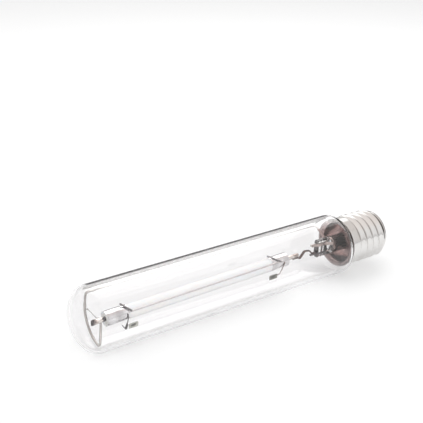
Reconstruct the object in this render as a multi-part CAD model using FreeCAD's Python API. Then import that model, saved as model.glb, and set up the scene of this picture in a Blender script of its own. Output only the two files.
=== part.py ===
import FreeCAD, Part
import math
import os

# A clear tubular high pressure sodium lamp with a large screw cap, lying on its side.
# Every piece is drawn about the lamp's own axis, x running from the tip of the dome (0)
# to the tip of the centre contact, and is then set down so that the tube rests on z = 0.

Vec = FreeCAD.Vector

# Clearances between pieces that sit on each other
wireSeat = 0.02
strapSeat = 0.03
clipSeat = 0.05
jumperSeat = 0.06

# Cap: rolled screw shell, whose thread sets the neck of the bulb
capWall = 0.6
threadPitch = 6.35
threadMajorRadius = 19.75
threadDepth = 1.8
threadMinorRadius = threadMajorRadius - threadDepth
threadBaseHalfWidth = 2.75
threadCrestRadius = 1.85
threadFlankAngle = 38.0
threadTurns = 3.6
threadStartAngle = 240.0
ridgeRoot = 0.35
neckClearance = 0.55
cementThickness = 2.3

# Outer bulb
bulbDiameter = 48.0
bulbWall = 1.3
domeCrownRadius = 32.0
domeCornerRadius = 12.0
shoulderX = 228.0
neckFilletRadius = 1.2
neckLength = 14.8
neckDiameter = 2.0 * (threadMinorRadius - capWall - neckClearance)
shoulderRadius = 0.5 * (bulbDiameter - neckDiameter) - neckFilletRadius
neckStartX = shoulderX + shoulderRadius + neckFilletRadius
neckEndX = neckStartX + neckLength
filmThickness = 0.15
filmSeat = 0.02
filmStartAngle = 55.0
filmNeckReach = 2.8
filmEndX = neckStartX + filmNeckReach

# Stem: flare, tube and press, with the exhaust tube behind it
stemTubeDiameter = 13.0
stemWall = 1.2
flareLength = 12.0
flareMiddleRise = 3.0
flareRimThickness = 1.3
flareInnerRimRadius = 0.5 * neckDiameter - 2.2
stemTubeLength = 13.0
pressTaperLength = 5.0
pressLength = 8.0
pressWidth = 14.8
pressThickness = 5.6
flareStartX = neckEndX - flareLength
stemBoreEndX = flareStartX - stemTubeLength
pressFullX = stemBoreEndX - pressTaperLength
pressStartX = pressFullX - pressLength
exhaustDiameter = 6.4
exhaustWall = 1.0
exhaustReach = 12.0
exhaustEndX = neckEndX + exhaustReach
collarLength = 4.0
collarThickness = 0.5
collarOverlap = 0.4
collarX = stemBoreEndX - collarOverlap

# Lead wires
leadDiameter = 1.8
leadOffset = 4.1
leadReach = 5.5
leadSink = 1.0
leadTipX = pressStartX - leadReach
leadJoinX = pressFullX + leadSink
outerLeadDiameter = 0.8
outerLeadBend = 4.0
sideLeadBend = 3.0
centreLeadTurn = 2.0
centreLeadSlant = 7.0
sideLeadReach = 5.0
sideLeadTurnX = neckEndX + sideLeadReach

# Arc tube, hung a little below the axis and slightly out of line with it
arcTubeDiameter = 10.5
arcTubeWall = 0.9
arcTubeStartX = 24.5
arcTubeStemGap = 31.0
arcTubeEndX = pressStartX - arcTubeStemGap
arcPivotGap = 4.0
arcPivotX = arcTubeEndX + arcPivotGap
arcPivotDrop = 0.6
arcTilt = 0.868
plugLength = 4.0
plugInset = 0.4
niobiumDiameter = 3.5
niobiumWall = 0.25
niobiumReach = 3.0
domeNiobiumReach = 6.1
capNiobiumReach = 12.6
pinchLength = 2.2
pinchTaper = 2.0
pinchHeight = 4.6
pinchThickness = 1.1
domeNiobiumX = arcTubeStartX - domeNiobiumReach
capNiobiumX = arcTubeEndX + capNiobiumReach
electrodeDiameter = 1.2
electrodeReach = 9.0
coilDiameter = 3.0
coilLength = 4.5
coilTurns = 4
shieldThickness = 0.2
domeShieldLength = 16.5
capShieldLength = 16.0
domeShieldEndX = arcTubeStartX + domeShieldLength
capShieldStartX = arcTubeEndX - capShieldLength
shieldRadius = 0.5 * arcTubeDiameter + shieldThickness

# Starting antenna and its two cross bars
antennaDiameter = 1.2
antennaAngle = 153.0
antennaOverlap = 0.8
antennaCapOverlap = 9.0
antennaStartX = domeShieldEndX - antennaOverlap
antennaEndX = capShieldStartX + antennaCapOverlap
barDiameter = 1.0
barAngle = 117.0
barFront = 4.2
barBack = 4.2
domeBarInset = 1.6
domeBarX = domeShieldEndX - domeBarInset
domeBarSlant = 5.5
capBarInset = 3.0
capBarX = capShieldStartX + capBarInset
capBarSlant = 8.2

# Frame wire: side rod, part hoop round the dome end, leg back to the arc tube.
# Angles go round the axis from the top, by way of the far side.
frameDiameter = 1.8
frameClearance = 0.55
hoopRadius = 0.5 * bulbDiameter - bulbWall - frameClearance - 0.5 * frameDiameter
hoopStartAngle = 60.0
hoopEndAngle = 192.0
hoopStartReach = 2.2
hoopEndReach = -0.6
hoopStartX = domeNiobiumX + hoopStartReach
hoopEndX = domeNiobiumX + hoopEndReach
hoopEntryAngle = 8.0
frameBend = 2.4
legReach = 2.9
legTopX = domeNiobiumX + legReach
legStub = 3.0
rodEndX = collarX + 0.5 * collarLength
rodBend = 3.0

# Getters, hung beside the shields
getterWireDiameter = 0.7
getterWireY = -(shieldRadius + 0.5 * getterWireDiameter + clipSeat)
getterLength = 7.4
getterHeight = 3.8
getterThickness = 0.5
getterCorner = 0.6
troughLength = 4.6
troughWidth = 2.0
troughDepth = 0.9
troughWall = 0.35
domeGetterInset = 2.0
domeGetterDrop = 9.7
capGetterInset = 20.1
capGetterDrop = 9.6
getterOverlap = 0.1
clipThickness = 0.35
clipWidth = 2.2
clipBend = 0.5
clipDrop = 3.6
getterClipTop = 6.0
getterWireBend = 2.0
capGetterBend = 1.5
capGetterReach = 8.1

# Straps and jumper
strapThickness = 0.4
strapWidth = 2.4
strapBend = 0.9
ribbonBend = 0.8
capStrapOverlap = 5.2
strapEndGap = 0.6
strapDipReach = 2.0
strapDip = 4.0
strapCrestReach = 6.1
strapCrest = 1.0
strapShelfReach = 1.1
strapShelf = 0.3
strapLandReach = 1.5
jumperDiameter = 0.7
jumperMeetAngle = 101.0
jumperBend = 0.8
jumperRest = 2.4

# Cap stations and its end
capRimGap = 0.5
skirtLength = 7.0
skirtTaper = 1.8
skirtInnerInset = 0.15
threadStartReach = 10.725
threadEndGap = 2.315
shellTurnRadius = 1.6
shellLipWidth = 3.15
capRimX = neckStartX + capRimGap
skirtRadius = 0.5 * neckDiameter + cementThickness + capWall
skirtEndX = capRimX + skirtLength
threadZoneStartX = skirtEndX + skirtTaper
threadStartX = capRimX + threadStartReach
shellShoulderX = threadStartX + threadPitch * threadTurns + threadEndGap
shellEndX = shellShoulderX + shellTurnRadius
shellLipRadius = threadMinorRadius - shellTurnRadius - shellLipWidth
cementInset = 1.5
cementEndGap = 0.2
cementStartX = capRimX + cementInset
cementEndX = skirtEndX - cementEndGap
contactRadius = 7.6
contactThickness = 1.4
contactProud = 0.6
contactHoleRadius = 1.6
contactRise = 1.3
insulatorInside = 4.8
insulatorHeight = 7.4
insulatorRim = 0.8
insulatorCollar = 0.5
insulatorChamfer = 2.0
insulatorChamferRise = 0.6
insulatorSideGap = 0.1
insulatorBore = 1.2
insulatorBaseX = shellEndX - insulatorInside
insulatorTopX = shellEndX + insulatorHeight
insulatorTopRadius = contactRadius + insulatorRim
contactSeatX = insulatorTopX - contactThickness + contactProud
contactFaceX = contactSeatX + contactThickness + contactRise
solderRadius = 4.2
solderInset = 0.6
solderHeight = 2.5
solderTipRadius = 1.6
centreLeadGap = 0.9
totalLength = contactFaceX + solderHeight


def place(shape):
    """Set a shape drawn about the lamp's axis down on the floor, centred along x."""
    moved = shape.copy()
    moved.translate(Vec(-totalLength / 2.0, 0, bulbDiameter / 2.0))
    return moved


def hang(shape):
    """Tilt and lower a shape drawn about the arc tube's own axis."""
    hung = shape.copy()
    hung.rotate(Vec(arcPivotX, 0, 0), Vec(0, 1, 0), -arcTilt)
    hung.translate(Vec(0, 0, -arcPivotDrop))
    return hung


def line(a, b):
    return Part.LineSegment(Vec(*a), Vec(*b)).toShape()


def arcThrough(a, b, c):
    return Part.Arc(Vec(*a), Vec(*b), Vec(*c)).toShape()


def arcAbout(cx, cr, radius, startDeg, endDeg):
    """Arc in the x-r plane about (cx, cr), angles measured from +x towards +r."""
    pts = []
    for deg in (startDeg, 0.5 * (startDeg + endDeg), endDeg):
        a = math.radians(deg)
        pts.append((cx + radius * math.cos(a), 0, cr + radius * math.sin(a)))
    return arcThrough(*pts)


def revolve(edges):
    """Turn a closed x-r outline round the x axis."""
    face = Part.Face(Part.Wire(Part.__sortEdges__(edges)))
    return face.revolve(Vec(0, 0, 0), Vec(1, 0, 0), 360)


def turned(points):
    """Turn a closed polygon of (x, r) points round the x axis."""
    loop = [Vec(x, 0, r) for x, r in points]
    loop.append(loop[0])
    return Part.Face(Part.makePolygon(loop)).revolve(Vec(0, 0, 0), Vec(1, 0, 0), 360)


def oval(x, high, thick):
    """Upright oval across the axis at x."""
    edge = Part.Ellipse(Vec(x, 0, high / 2.0), Vec(x, thick / 2.0, 0), Vec(x, 0, 0)).toShape()
    return Part.Wire(edge)


def flattened(flatX, high, thick, roundX, diameter):
    """Glass or metal pressed flat: an oval at flatX that swells to a round at roundX."""
    return Part.makeLoft([oval(flatX, high, thick), oval(roundX, diameter, diameter - 0.02)], True)


def rod(x0, x1, radius, y=0.0, z=0.0):
    return Part.makeCylinder(radius, x1 - x0, Vec(x0, y, z), Vec(1, 0, 0))


def roundedEdges(points, radius):
    """Straight runs through the points, joined by tangent arcs of one radius."""
    pts = [Vec(*p) for p in points]
    edges = []
    start = pts[0]
    for before, corner, after in zip(pts, pts[1:], pts[2:]):
        u = (before - corner).normalize()
        v = (after - corner).normalize()
        half = 0.5 * u.getAngle(v)
        reach = radius / math.tan(half)
        bisector = (u + v).normalize()
        middle = corner + bisector * (radius / math.sin(half) - radius)
        arcStart = corner + u * reach
        arcEnd = corner + v * reach
        edges.append(Part.LineSegment(start, arcStart).toShape())
        edges.append(Part.Arc(arcStart, middle, arcEnd).toShape())
        start = arcEnd
    edges.append(Part.LineSegment(start, pts[-1]).toShape())
    return edges


def wireAlong(edges, radius):
    """Round wire swept along a smooth chain of edges."""
    path = Part.Wire(edges)
    first = edges[0]
    tangent = first.tangentAt(first.FirstParameter)
    ring = Part.Wire(Part.makeCircle(radius, first.valueAt(first.FirstParameter), tangent))
    return path.makePipeShell([ring], True, True)


def ribbonAlong(points, bend, width, thickness, across):
    """Flat ribbon swept along a path, its width along the direction across."""
    edges = roundedEdges(points, bend)
    first = edges[0]
    origin = first.valueAt(first.FirstParameter)
    tangent = first.tangentAt(first.FirstParameter)
    normal = across.cross(tangent).normalize()
    side = across * (width / 2.0)
    up = normal * (thickness / 2.0)
    corners = [origin + side + up, origin - side + up, origin - side - up, origin + side - up]
    profile = Part.makePolygon(corners + [corners[0]])
    return Part.Wire(edges).makePipeShell([profile], True, False)


def bulbOutline(wall):
    """Edges of the bulb's skin from the axis at the dome to the open neck, moved in by wall."""
    outer = bulbDiameter / 2.0
    crown, corner = domeCrownRadius, domeCornerRadius
    cornerR = outer - corner
    depth = crown - math.sqrt((crown - corner) ** 2 - cornerR ** 2)
    crownX, cornerX = crown, depth
    lean = math.degrees(math.atan2(cornerR, crownX - cornerX))
    edges = [
        arcAbout(crownX, 0, crown - wall, 180.0, 180.0 - lean),
        arcAbout(cornerX, cornerR, corner - wall, 180.0 - lean, 90.0),
        line((cornerX, 0, outer - wall), (shoulderX, 0, outer - wall)),
    ]
    shoulderR = outer - shoulderRadius
    neckR = neckDiameter / 2.0
    filletX = shoulderX + shoulderRadius + neckFilletRadius
    edges.append(arcAbout(shoulderX, shoulderR, shoulderRadius - wall, 90.0, 0.0))
    edges.append(arcAbout(filletX, shoulderR, neckFilletRadius + wall, 180.0, 270.0))
    edges.append(line((filletX, 0, neckR - wall), (neckEndX, 0, neckR - wall)))
    return edges


def outerBulb():
    neckR = neckDiameter / 2.0
    edges = bulbOutline(0.0) + bulbOutline(bulbWall)
    edges.append(line((neckEndX, 0, neckR - bulbWall), (neckEndX, 0, neckR)))
    edges.append(line((0, 0, 0), (bulbWall, 0, 0)))
    return revolve(edges)


def getterFilm():
    """Metallic film on the inside of the shoulder, from its corner down into the neck."""
    shoulderR = bulbDiameter / 2.0 - shoulderRadius
    filletX = shoulderX + shoulderRadius + neckFilletRadius
    edges = []
    outerSkin = bulbWall + filmSeat
    innerSkin = outerSkin + filmThickness
    for wall in (outerSkin, innerSkin):
        neckR = neckDiameter / 2.0 - wall
        edges.append(arcAbout(shoulderX, shoulderR, shoulderRadius - wall, filmStartAngle, 0.0))
        edges.append(arcAbout(filletX, shoulderR, neckFilletRadius + wall, 180.0, 270.0))
        edges.append(line((filletX, 0, neckR), (filmEndX, 0, neckR)))
    neckR = neckDiameter / 2.0 - outerSkin
    edges.append(line((filmEndX, 0, neckR), (filmEndX, 0, neckR - filmThickness)))
    a = math.radians(filmStartAngle)
    tips = []
    for wall in (outerSkin, innerSkin):
        radius = shoulderRadius - wall
        tips.append((shoulderX + radius * math.cos(a), 0, shoulderR + radius * math.sin(a)))
    edges.append(line(*tips))
    return revolve(edges)


def stemGlass():
    """Trumpet flare sealed to the neck, stem tube, and the flat press round the leads."""
    tubeR = stemTubeDiameter / 2.0
    boreR = tubeR - stemWall
    neckR = neckDiameter / 2.0
    rimX = neckEndX + flareRimThickness
    middleX = 0.5 * (flareStartX + neckEndX)
    webX = stemBoreEndX - 4.0 / 3.0 * stemWall
    body = turned([
        (webX, 0), (webX, tubeR), (flareStartX, tubeR),
        (middleX, tubeR + flareMiddleRise), (neckEndX, flareInnerRimRadius),
        (neckEndX, neckR), (rimX, neckR), (rimX, flareInnerRimRadius - stemWall),
        (middleX + stemWall, tubeR + flareMiddleRise - stemWall - 0.2),
        (flareStartX + 0.5 * stemWall, boreR), (stemBoreEndX, boreR), (stemBoreEndX, 0),
    ])
    taperEndX = stemBoreEndX - 0.2 * pressTaperLength
    taper = flattened(pressFullX, pressWidth, pressThickness, taperEndX, stemTubeDiameter - 0.3)
    press = Part.Face(oval(pressFullX, pressWidth, pressThickness)).extrude(
        Vec(pressStartX - pressFullX, 0, 0))
    glass = body.fuse([taper, press])
    holes = []
    for side in (1, -1):
        holes.append(rod(pressStartX - 1, leadJoinX, leadDiameter / 2.0, 0, side * leadOffset))
        holes.append(rod(leadJoinX, stemBoreEndX + 1, outerLeadDiameter / 2.0, 0, side * leadOffset))
    return glass.cut(holes)


def exhaustTube():
    """Tube sealed to the end of the stem bore and melted shut inside the cap."""
    outer = exhaustDiameter / 2.0
    inner = outer - exhaustWall
    tip = exhaustEndX - outer
    edges = [
        line((stemBoreEndX, 0, inner), (stemBoreEndX, 0, outer)),
        line((stemBoreEndX, 0, outer), (tip, 0, outer)),
        arcAbout(tip, 0, outer, 90.0, 0.0),
        line((exhaustEndX, 0, 0), (tip + inner, 0, 0)),
        arcAbout(tip, 0, inner, 0.0, 90.0),
        line((tip, 0, inner), (stemBoreEndX, 0, inner)),
    ]
    return revolve(edges)


def stemCollar():
    """Metal band clamped round the stem tube, which carries the end of the frame wire."""
    inner = stemTubeDiameter / 2.0
    outer = inner + collarThickness
    return turned([(collarX, inner), (collarX, outer),
                   (collarX + collarLength, outer), (collarX + collarLength, inner)])


def innerLead(side):
    return rod(leadTipX, leadJoinX, leadDiameter / 2.0, 0, side * leadOffset)


def centreLead():
    """From the press to the solder of the centre contact."""
    z = -leadOffset
    end = totalLength - centreLeadGap
    turnX = exhaustEndX - centreLeadTurn
    path = roundedEdges([(leadJoinX, 0, z), (turnX, 0, z), (turnX + centreLeadSlant, 0, 0), (end, 0, 0)],
                        outerLeadBend)
    return wireAlong(path, outerLeadDiameter / 2.0)


def sideLead():
    """From the press to the inside wall of the shell."""
    z = leadOffset
    wallR = threadMinorRadius - capWall
    path = roundedEdges([(leadJoinX, 0, z), (sideLeadTurnX, 0, z),
                         (sideLeadTurnX, 0, wallR - wireSeat)], sideLeadBend)
    return wireAlong(path, outerLeadDiameter / 2.0)


def frameRibbon():
    """Upright ribbon on the front of the press, from the frame lead back to the collar."""
    half = strapThickness / 2.0
    nearEdge = leadOffset - strapWidth / 2.0
    leadY = -(leadDiameter / 2.0 + half + wireSeat)
    pressY = -(pressThickness / 2.0 + half + clipSeat)
    collarR = stemTubeDiameter / 2.0 + collarThickness
    collarY = -(math.sqrt(collarR ** 2 - nearEdge ** 2) + half + strapSeat)
    path = [(leadTipX + 0.4, leadY), (pressStartX - 1.6, leadY), (pressStartX + 0.2, pressY),
            (pressFullX - 1.2, pressY), (collarX - 0.6, collarY), (collarX + collarLength - 0.4, collarY)]
    points = [(x, y, leadOffset) for x, y in path]
    return ribbonAlong(points, ribbonBend, strapWidth, strapThickness, Vec(0, 0, 1))


def hoopPoint(angle, reach=hoopRadius):
    """Point at this angle round the axis on the hoop's slightly tilted plane."""
    share = (angle - hoopStartAngle) / (hoopEndAngle - hoopStartAngle)
    a = math.radians(angle)
    x = hoopStartX + share * (hoopEndX - hoopStartX)
    return Vec(x, reach * math.sin(a), reach * math.cos(a))


def frameWire():
    """One bent wire: collar, side rod along the glass, part hoop, leg up to the arc tube."""
    enter = hoopStartAngle + hoopEntryAngle
    leave = hoopEndAngle - hoopEntryAngle
    hoop = Part.Arc(hoopPoint(enter), hoopPoint(0.5 * (enter + leave)), hoopPoint(leave)).toShape()
    enterPoint, leavePoint = hoopPoint(enter), hoopPoint(leave)
    reach = hoopRadius * math.tan(math.radians(hoopEntryAngle))
    topCorner = enterPoint - hoop.tangentAt(hoop.FirstParameter) * reach
    bottomCorner = leavePoint + hoop.tangentAt(hoop.LastParameter) * reach
    out = Vec(0, topCorner.y, topCorner.z).normalize()
    collarTop = stemTubeDiameter / 2.0 + collarThickness + strapSeat
    legTopZ = arcAxisZ(legTopX) - niobiumDiameter / 2.0 - strapSeat
    half = 0.5 * rodEndX
    middle = (half, topCorner.y, topCorner.z)
    radial = roundedEdges([(rodEndX, out.y * collarTop, out.z * collarTop),
                           (rodEndX, topCorner.y, topCorner.z), middle], rodBend)
    bend = roundedEdges([middle, tuple(topCorner), tuple(enterPoint)], frameBend)
    leg = roundedEdges([tuple(leavePoint), tuple(bottomCorner),
                        (legTopX, 0, legTopZ - legStub), (legTopX, 0, legTopZ)], frameBend)
    return wireAlong(radial + bend + [hoop] + leg, frameDiameter / 2.0)


def arcAxisZ(x):
    """Height of the hung arc tube's axis at x."""
    return -arcPivotDrop - (arcPivotX - x) * math.tan(math.radians(arcTilt))


def arcTube():
    outer = arcTubeDiameter / 2.0
    return turned([(arcTubeStartX, outer - arcTubeWall), (arcTubeStartX, outer),
                   (arcTubeEndX, outer), (arcTubeEndX, outer - arcTubeWall)])


def endPlug(x0):
    bore = arcTubeDiameter / 2.0 - arcTubeWall
    tubeR = niobiumDiameter / 2.0
    return turned([(x0, tubeR), (x0, bore), (x0 + plugLength, bore), (x0 + plugLength, tubeR)])


def domeNiobium():
    """Niobium tube whose outer end is pinched flat and shut."""
    outer = niobiumDiameter / 2.0
    endX = arcTubeStartX + plugInset + plugLength + niobiumReach
    tube = turned([(domeNiobiumX, 0), (domeNiobiumX, outer), (endX, outer),
                   (endX, outer - niobiumWall), (domeNiobiumX + 1.0, outer - niobiumWall),
                   (domeNiobiumX + 1.0, 0)])
    flatX = domeNiobiumX - pinchTaper
    taper = flattened(flatX, pinchHeight, pinchThickness, domeNiobiumX + 0.4, niobiumDiameter - 0.1)
    flat = Part.Face(oval(flatX, pinchHeight, pinchThickness)).extrude(Vec(-pinchLength, 0, 0))
    return tube.fuse([taper, flat])


def capNiobium():
    outer = niobiumDiameter / 2.0
    startX = arcTubeEndX - plugInset - plugLength - niobiumReach
    return turned([(startX, outer - niobiumWall), (startX, outer), (capNiobiumX, outer),
                   (capNiobiumX, 0), (capNiobiumX - 1.0, 0), (capNiobiumX - 1.0, outer - niobiumWall)])


def electrode(baseX, direction):
    """Tungsten rod on the end of the niobium tube, wound with a short coil at its tip."""
    tubeInner = niobiumDiameter / 2.0 - niobiumWall
    reach = direction * electrodeReach
    shank = Part.makeCylinder(electrodeDiameter / 2.0, electrodeReach + 2.0,
                              Vec(baseX - direction * 2.0, 0, 0), Vec(direction, 0, 0))
    foot = Part.makeCylinder(tubeInner, 1.2, Vec(baseX - direction * 2.0, 0, 0), Vec(direction, 0, 0))
    coilR = coilDiameter / 2.0
    rootR = 0.5 * (coilR + electrodeDiameter / 2.0)
    pitch = coilLength / coilTurns
    outline = [(0.0, 0.0)]
    for k in range(coilTurns):
        outline += [(k * pitch, rootR), ((k + 0.5) * pitch, coilR)]
    outline += [(coilLength, rootR), (coilLength, 0.0)]
    tip = baseX + reach - direction * 1.0
    coil = turned([(tip - direction * x, r) for x, r in outline])
    return shank.fuse([foot, coil])


def endShield(x0, x1):
    inner = arcTubeDiameter / 2.0
    outer = inner + shieldThickness
    return turned([(x0, inner), (x0, outer), (x1, outer), (x1, inner)])


def antennaWire():
    """Straight wire along the front of the arc tube, resting on both shields."""
    reach = shieldRadius + antennaDiameter / 2.0 + wireSeat
    a = math.radians(antennaAngle)
    return rod(antennaStartX, antennaEndX, antennaDiameter / 2.0,
               reach * math.cos(a), reach * math.sin(a))


def crossBar(midX, slant):
    """Bar laid across the shield, its front end on the antenna, slanting along x."""
    reach = shieldRadius + barDiameter / 2.0 + wireSeat
    a = math.radians(barAngle)
    middle = Vec(midX, reach * math.cos(a), reach * math.sin(a))
    span = barFront + barBack
    along = Vec(slant, -math.sin(a) * span, math.cos(a) * span)
    start = middle - along * (barBack / span)
    return Part.makeCylinder(barDiameter / 2.0, along.Length, start, along)


def getterPlate(x0, z0):
    """Flat plate with a pressed oval trough, facing the front, x0 and z0 at its lower corner."""
    y = getterWireY - getterWireDiameter / 2.0 - getterThickness
    plate = Part.makeBox(getterLength, getterThickness, getterHeight, Vec(x0, y, z0))
    corners = [e for e in plate.Edges if abs(e.tangentAt(e.FirstParameter).y) > 0.9]
    plate = plate.makeFillet(getterCorner, corners)
    centre = Vec(x0 + getterLength / 2.0, y, z0 + getterHeight / 2.0)
    pieces = []
    for grow, depth in ((troughWall, troughDepth), (0.0, troughDepth - 0.3)):
        oval = Part.Ellipse(centre, troughLength / 2.0 + grow, troughWidth / 2.0 + grow)
        oval.Axis = Vec(0, 1, 0)
        pieces.append(Part.Face(Part.Wire(oval.toShape())).extrude(Vec(0, depth, 0)))
    return plate.fuse(pieces[0]).cut(pieces[1])


def domeGetterWire():
    """Thin wire from the shield down to the folded clip of the dome-end getter."""
    x = domeShieldEndX - 1.7
    low = -getterClipTop
    path = roundedEdges([(x, getterWireY, 1.8), (x, getterWireY, -1.5),
                         (x - 1.1, getterWireY, low - 0.2)], getterWireBend)
    wire = wireAlong(path, getterWireDiameter / 2.0)
    fold = [(x - 4.7, low), (x - 2.5, low - clipDrop), (x - 1.0, low + 0.1)]
    clip = ribbonAlong([(fx, getterWireY, z) for fx, z in fold], clipBend, clipWidth, clipThickness,
                       Vec(0, 1, 0))
    return wire.fuse(clip)


def capGetterWire():
    """Thin wire from the shield, slanting down to the getter plate at the cap end."""
    x = arcTubeEndX - capGetterInset + getterLength - getterOverlap
    z = -capGetterDrop + 0.5 * getterHeight - 0.1
    topX = x + capGetterReach
    path = roundedEdges([(topX, getterWireY, 1.4), (topX - 1.1, getterWireY, -1.0),
                         (topX - 5.0, getterWireY, z + 0.6), (x, getterWireY, z)], capGetterBend)
    return wireAlong(path, getterWireDiameter / 2.0)


def capStrap():
    """S-shaped ribbon from under the niobium tube up and over to the arc lead."""
    half = strapThickness / 2.0
    startX = capNiobiumX - capStrapOverlap
    tubeZ = arcAxisZ(startX) - niobiumDiameter / 2.0 - half - strapSeat
    leadZ = -leadOffset + leadDiameter / 2.0 + half + wireSeat
    path = [(startX, 0, tubeZ), (capNiobiumX - strapEndGap, 0, tubeZ),
            (capNiobiumX + strapDipReach, 0, -strapDip), (leadTipX - strapCrestReach, 0, strapCrest),
            (leadTipX - strapShelfReach, 0, strapShelf), (leadTipX + strapLandReach, 0, leadZ),
            (pressStartX - strapEndGap, 0, leadZ)]
    return ribbonAlong(path, strapBend, strapWidth, strapThickness, Vec(0, 1, 0))


def jumperWire():
    """Thin flexible wire from the pinched niobium tube to the far side of the hoop."""
    radius = jumperDiameter / 2.0
    tubeZ = arcAxisZ(domeNiobiumX)
    reach = niobiumDiameter / 2.0 + radius + jumperSeat
    start = Vec(domeNiobiumX + jumperRest, 0.5 * reach, tubeZ + 0.866 * reach)
    meet = hoopPoint(jumperMeetAngle) + Vec(frameDiameter / 2.0 + radius + 0.1, 0, 0)
    knee = Vec(domeNiobiumX + 0.4, start.y + 0.1, start.z + 0.1)
    path = roundedEdges([tuple(start), tuple(knee), tuple(meet)], jumperBend)
    return wireAlong(path, radius)


def threadRidge():
    """Round ridge wound on the shell at the thread pitch, with rounded ends."""
    base = threadMinorRadius - ridgeRoot
    crestR = threadCrestRadius
    crestCentre = threadMajorRadius - crestR
    flank = math.radians(threadFlankAngle)
    touchR = crestCentre + crestR * math.sin(flank)
    touchX = crestR * math.cos(flank)
    foot = threadBaseHalfWidth
    helix = Part.makeHelix(threadPitch, threadPitch * threadTurns, threadMinorRadius)
    outline = [
        Part.LineSegment(Vec(base, 0, -foot), Vec(touchR, 0, -touchX)).toShape(),
        Part.Arc(Vec(touchR, 0, -touchX), Vec(threadMajorRadius, 0, 0), Vec(touchR, 0, touchX)).toShape(),
        Part.LineSegment(Vec(touchR, 0, touchX), Vec(base, 0, foot)).toShape(),
        Part.LineSegment(Vec(base, 0, foot), Vec(base, 0, -foot)).toShape(),
    ]
    ridge = Part.Wire(helix.Edges).makePipeShell([Part.Wire(outline)], True, True)
    shy = 0.5 * (0.5 * math.pi - flank)
    onCrest = Vec(crestCentre + crestR * math.cos(shy), 0, crestR * math.sin(shy))
    half = [
        Part.LineSegment(Vec(base, 0, 0), Vec(threadMajorRadius, 0, 0)).toShape(),
        Part.Arc(Vec(threadMajorRadius, 0, 0), onCrest, Vec(touchR, 0, touchX)).toShape(),
        Part.LineSegment(Vec(touchR, 0, touchX), Vec(base, 0, foot)).toShape(),
        Part.LineSegment(Vec(base, 0, foot), Vec(base, 0, 0)).toShape(),
    ]
    button = Part.Face(Part.Wire(half)).revolve(Vec(0, 0, 0), Vec(1, 0, 0), 360)
    endButton = button.copy()
    endButton.rotate(Vec(0, 0, 0), Vec(0, 0, 1), 360.0 * threadTurns)
    endButton.translate(Vec(0, 0, threadPitch * threadTurns))
    parts = [button, endButton]
    whole = ridge.fuse(parts)
    whole.rotate(Vec(0, 0, 0), Vec(0, 1, 0), 90)
    whole.rotate(Vec(0, 0, 0), Vec(1, 0, 0), -threadStartAngle)
    whole.translate(Vec(threadStartX, 0, 0))
    return whole


def capShell():
    """Thin shell: smooth skirt, threaded barrel, and a lip turned in over the insulator."""
    outerR, innerR = threadMinorRadius, threadMinorRadius - capWall
    skirtIn = skirtRadius - capWall
    turnR = shellTurnRadius
    skirtInX = skirtEndX - skirtInnerInset
    edges = [
        line((capRimX, 0, skirtIn), (capRimX, 0, skirtRadius)),
        line((capRimX, 0, skirtRadius), (skirtEndX, 0, skirtRadius)),
        line((skirtEndX, 0, skirtRadius), (threadZoneStartX, 0, outerR)),
        line((threadZoneStartX, 0, outerR), (shellShoulderX, 0, outerR)),
        arcAbout(shellShoulderX, outerR - turnR, turnR, 90.0, 0.0),
        line((shellEndX, 0, outerR - turnR), (shellEndX, 0, shellLipRadius)),
        line((shellEndX, 0, shellLipRadius), (shellEndX - capWall, 0, shellLipRadius)),
        line((shellEndX - capWall, 0, shellLipRadius), (shellEndX - capWall, 0, outerR - turnR)),
        arcAbout(shellShoulderX, outerR - turnR, turnR - capWall, 0.0, 90.0),
        line((shellShoulderX, 0, innerR), (threadZoneStartX, 0, innerR)),
        line((threadZoneStartX, 0, innerR), (skirtInX, 0, skirtIn)),
        line((skirtInX, 0, skirtIn), (capRimX, 0, skirtIn)),
    ]
    return revolve(edges).fuse(threadRidge())


def cappingCement():
    neckR = neckDiameter / 2.0
    skirtIn = skirtRadius - capWall
    return turned([(cementStartX, neckR), (cementStartX, skirtIn),
                   (cementEndX, skirtIn), (cementEndX, neckR)])


def capInsulator():
    """Black glass that fills the end of the shell and narrows to the centre contact."""
    side = threadMinorRadius - shellTurnRadius - insulatorSideGap
    seatX = shellEndX - capWall
    chamferX = insulatorTopX - insulatorChamfer
    return turned([
        (insulatorBaseX, insulatorBore), (insulatorBaseX, side), (seatX, side),
        (seatX, shellLipRadius), (shellEndX + insulatorCollar, shellLipRadius),
        (chamferX, insulatorTopRadius + insulatorChamferRise), (insulatorTopX, insulatorTopRadius),
        (insulatorTopX, contactRadius), (contactSeatX, contactRadius), (contactSeatX, insulatorBore),
    ])


def centreContact():
    """Slightly domed disc let into the top of the insulator, open in the middle."""
    topX = contactSeatX + contactThickness
    return turned([
        (contactSeatX, contactHoleRadius), (contactSeatX, contactRadius), (topX, contactRadius),
        (topX + 0.6 * contactRise, 0.7 * contactRadius), (topX + contactRise, solderRadius),
        (topX + contactRise, contactHoleRadius),
    ])


def contactSolder():
    """Solder that fills the contact's hole and stands on its face as a low, flat-tipped bead."""
    seatX, faceX = contactSeatX, contactFaceX
    beadR = solderRadius - solderInset
    crown = (faceX + 0.72 * (totalLength - faceX), 0, 0.5 * (beadR + solderTipRadius) + 0.35)
    edges = [
        line((seatX, 0, 0), (seatX, 0, contactHoleRadius)),
        line((seatX, 0, contactHoleRadius), (faceX, 0, contactHoleRadius)),
        line((faceX, 0, contactHoleRadius), (faceX, 0, beadR)),
        arcThrough((faceX, 0, beadR), crown, (totalLength, 0, solderTipRadius)),
        line((totalLength, 0, solderTipRadius), (totalLength, 0, 0)),
        line((totalLength, 0, 0), (seatX, 0, 0)),
    ]
    return revolve(edges).cut(rod(seatX - 1, totalLength - centreLeadGap, outerLeadDiameter / 2.0))


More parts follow.
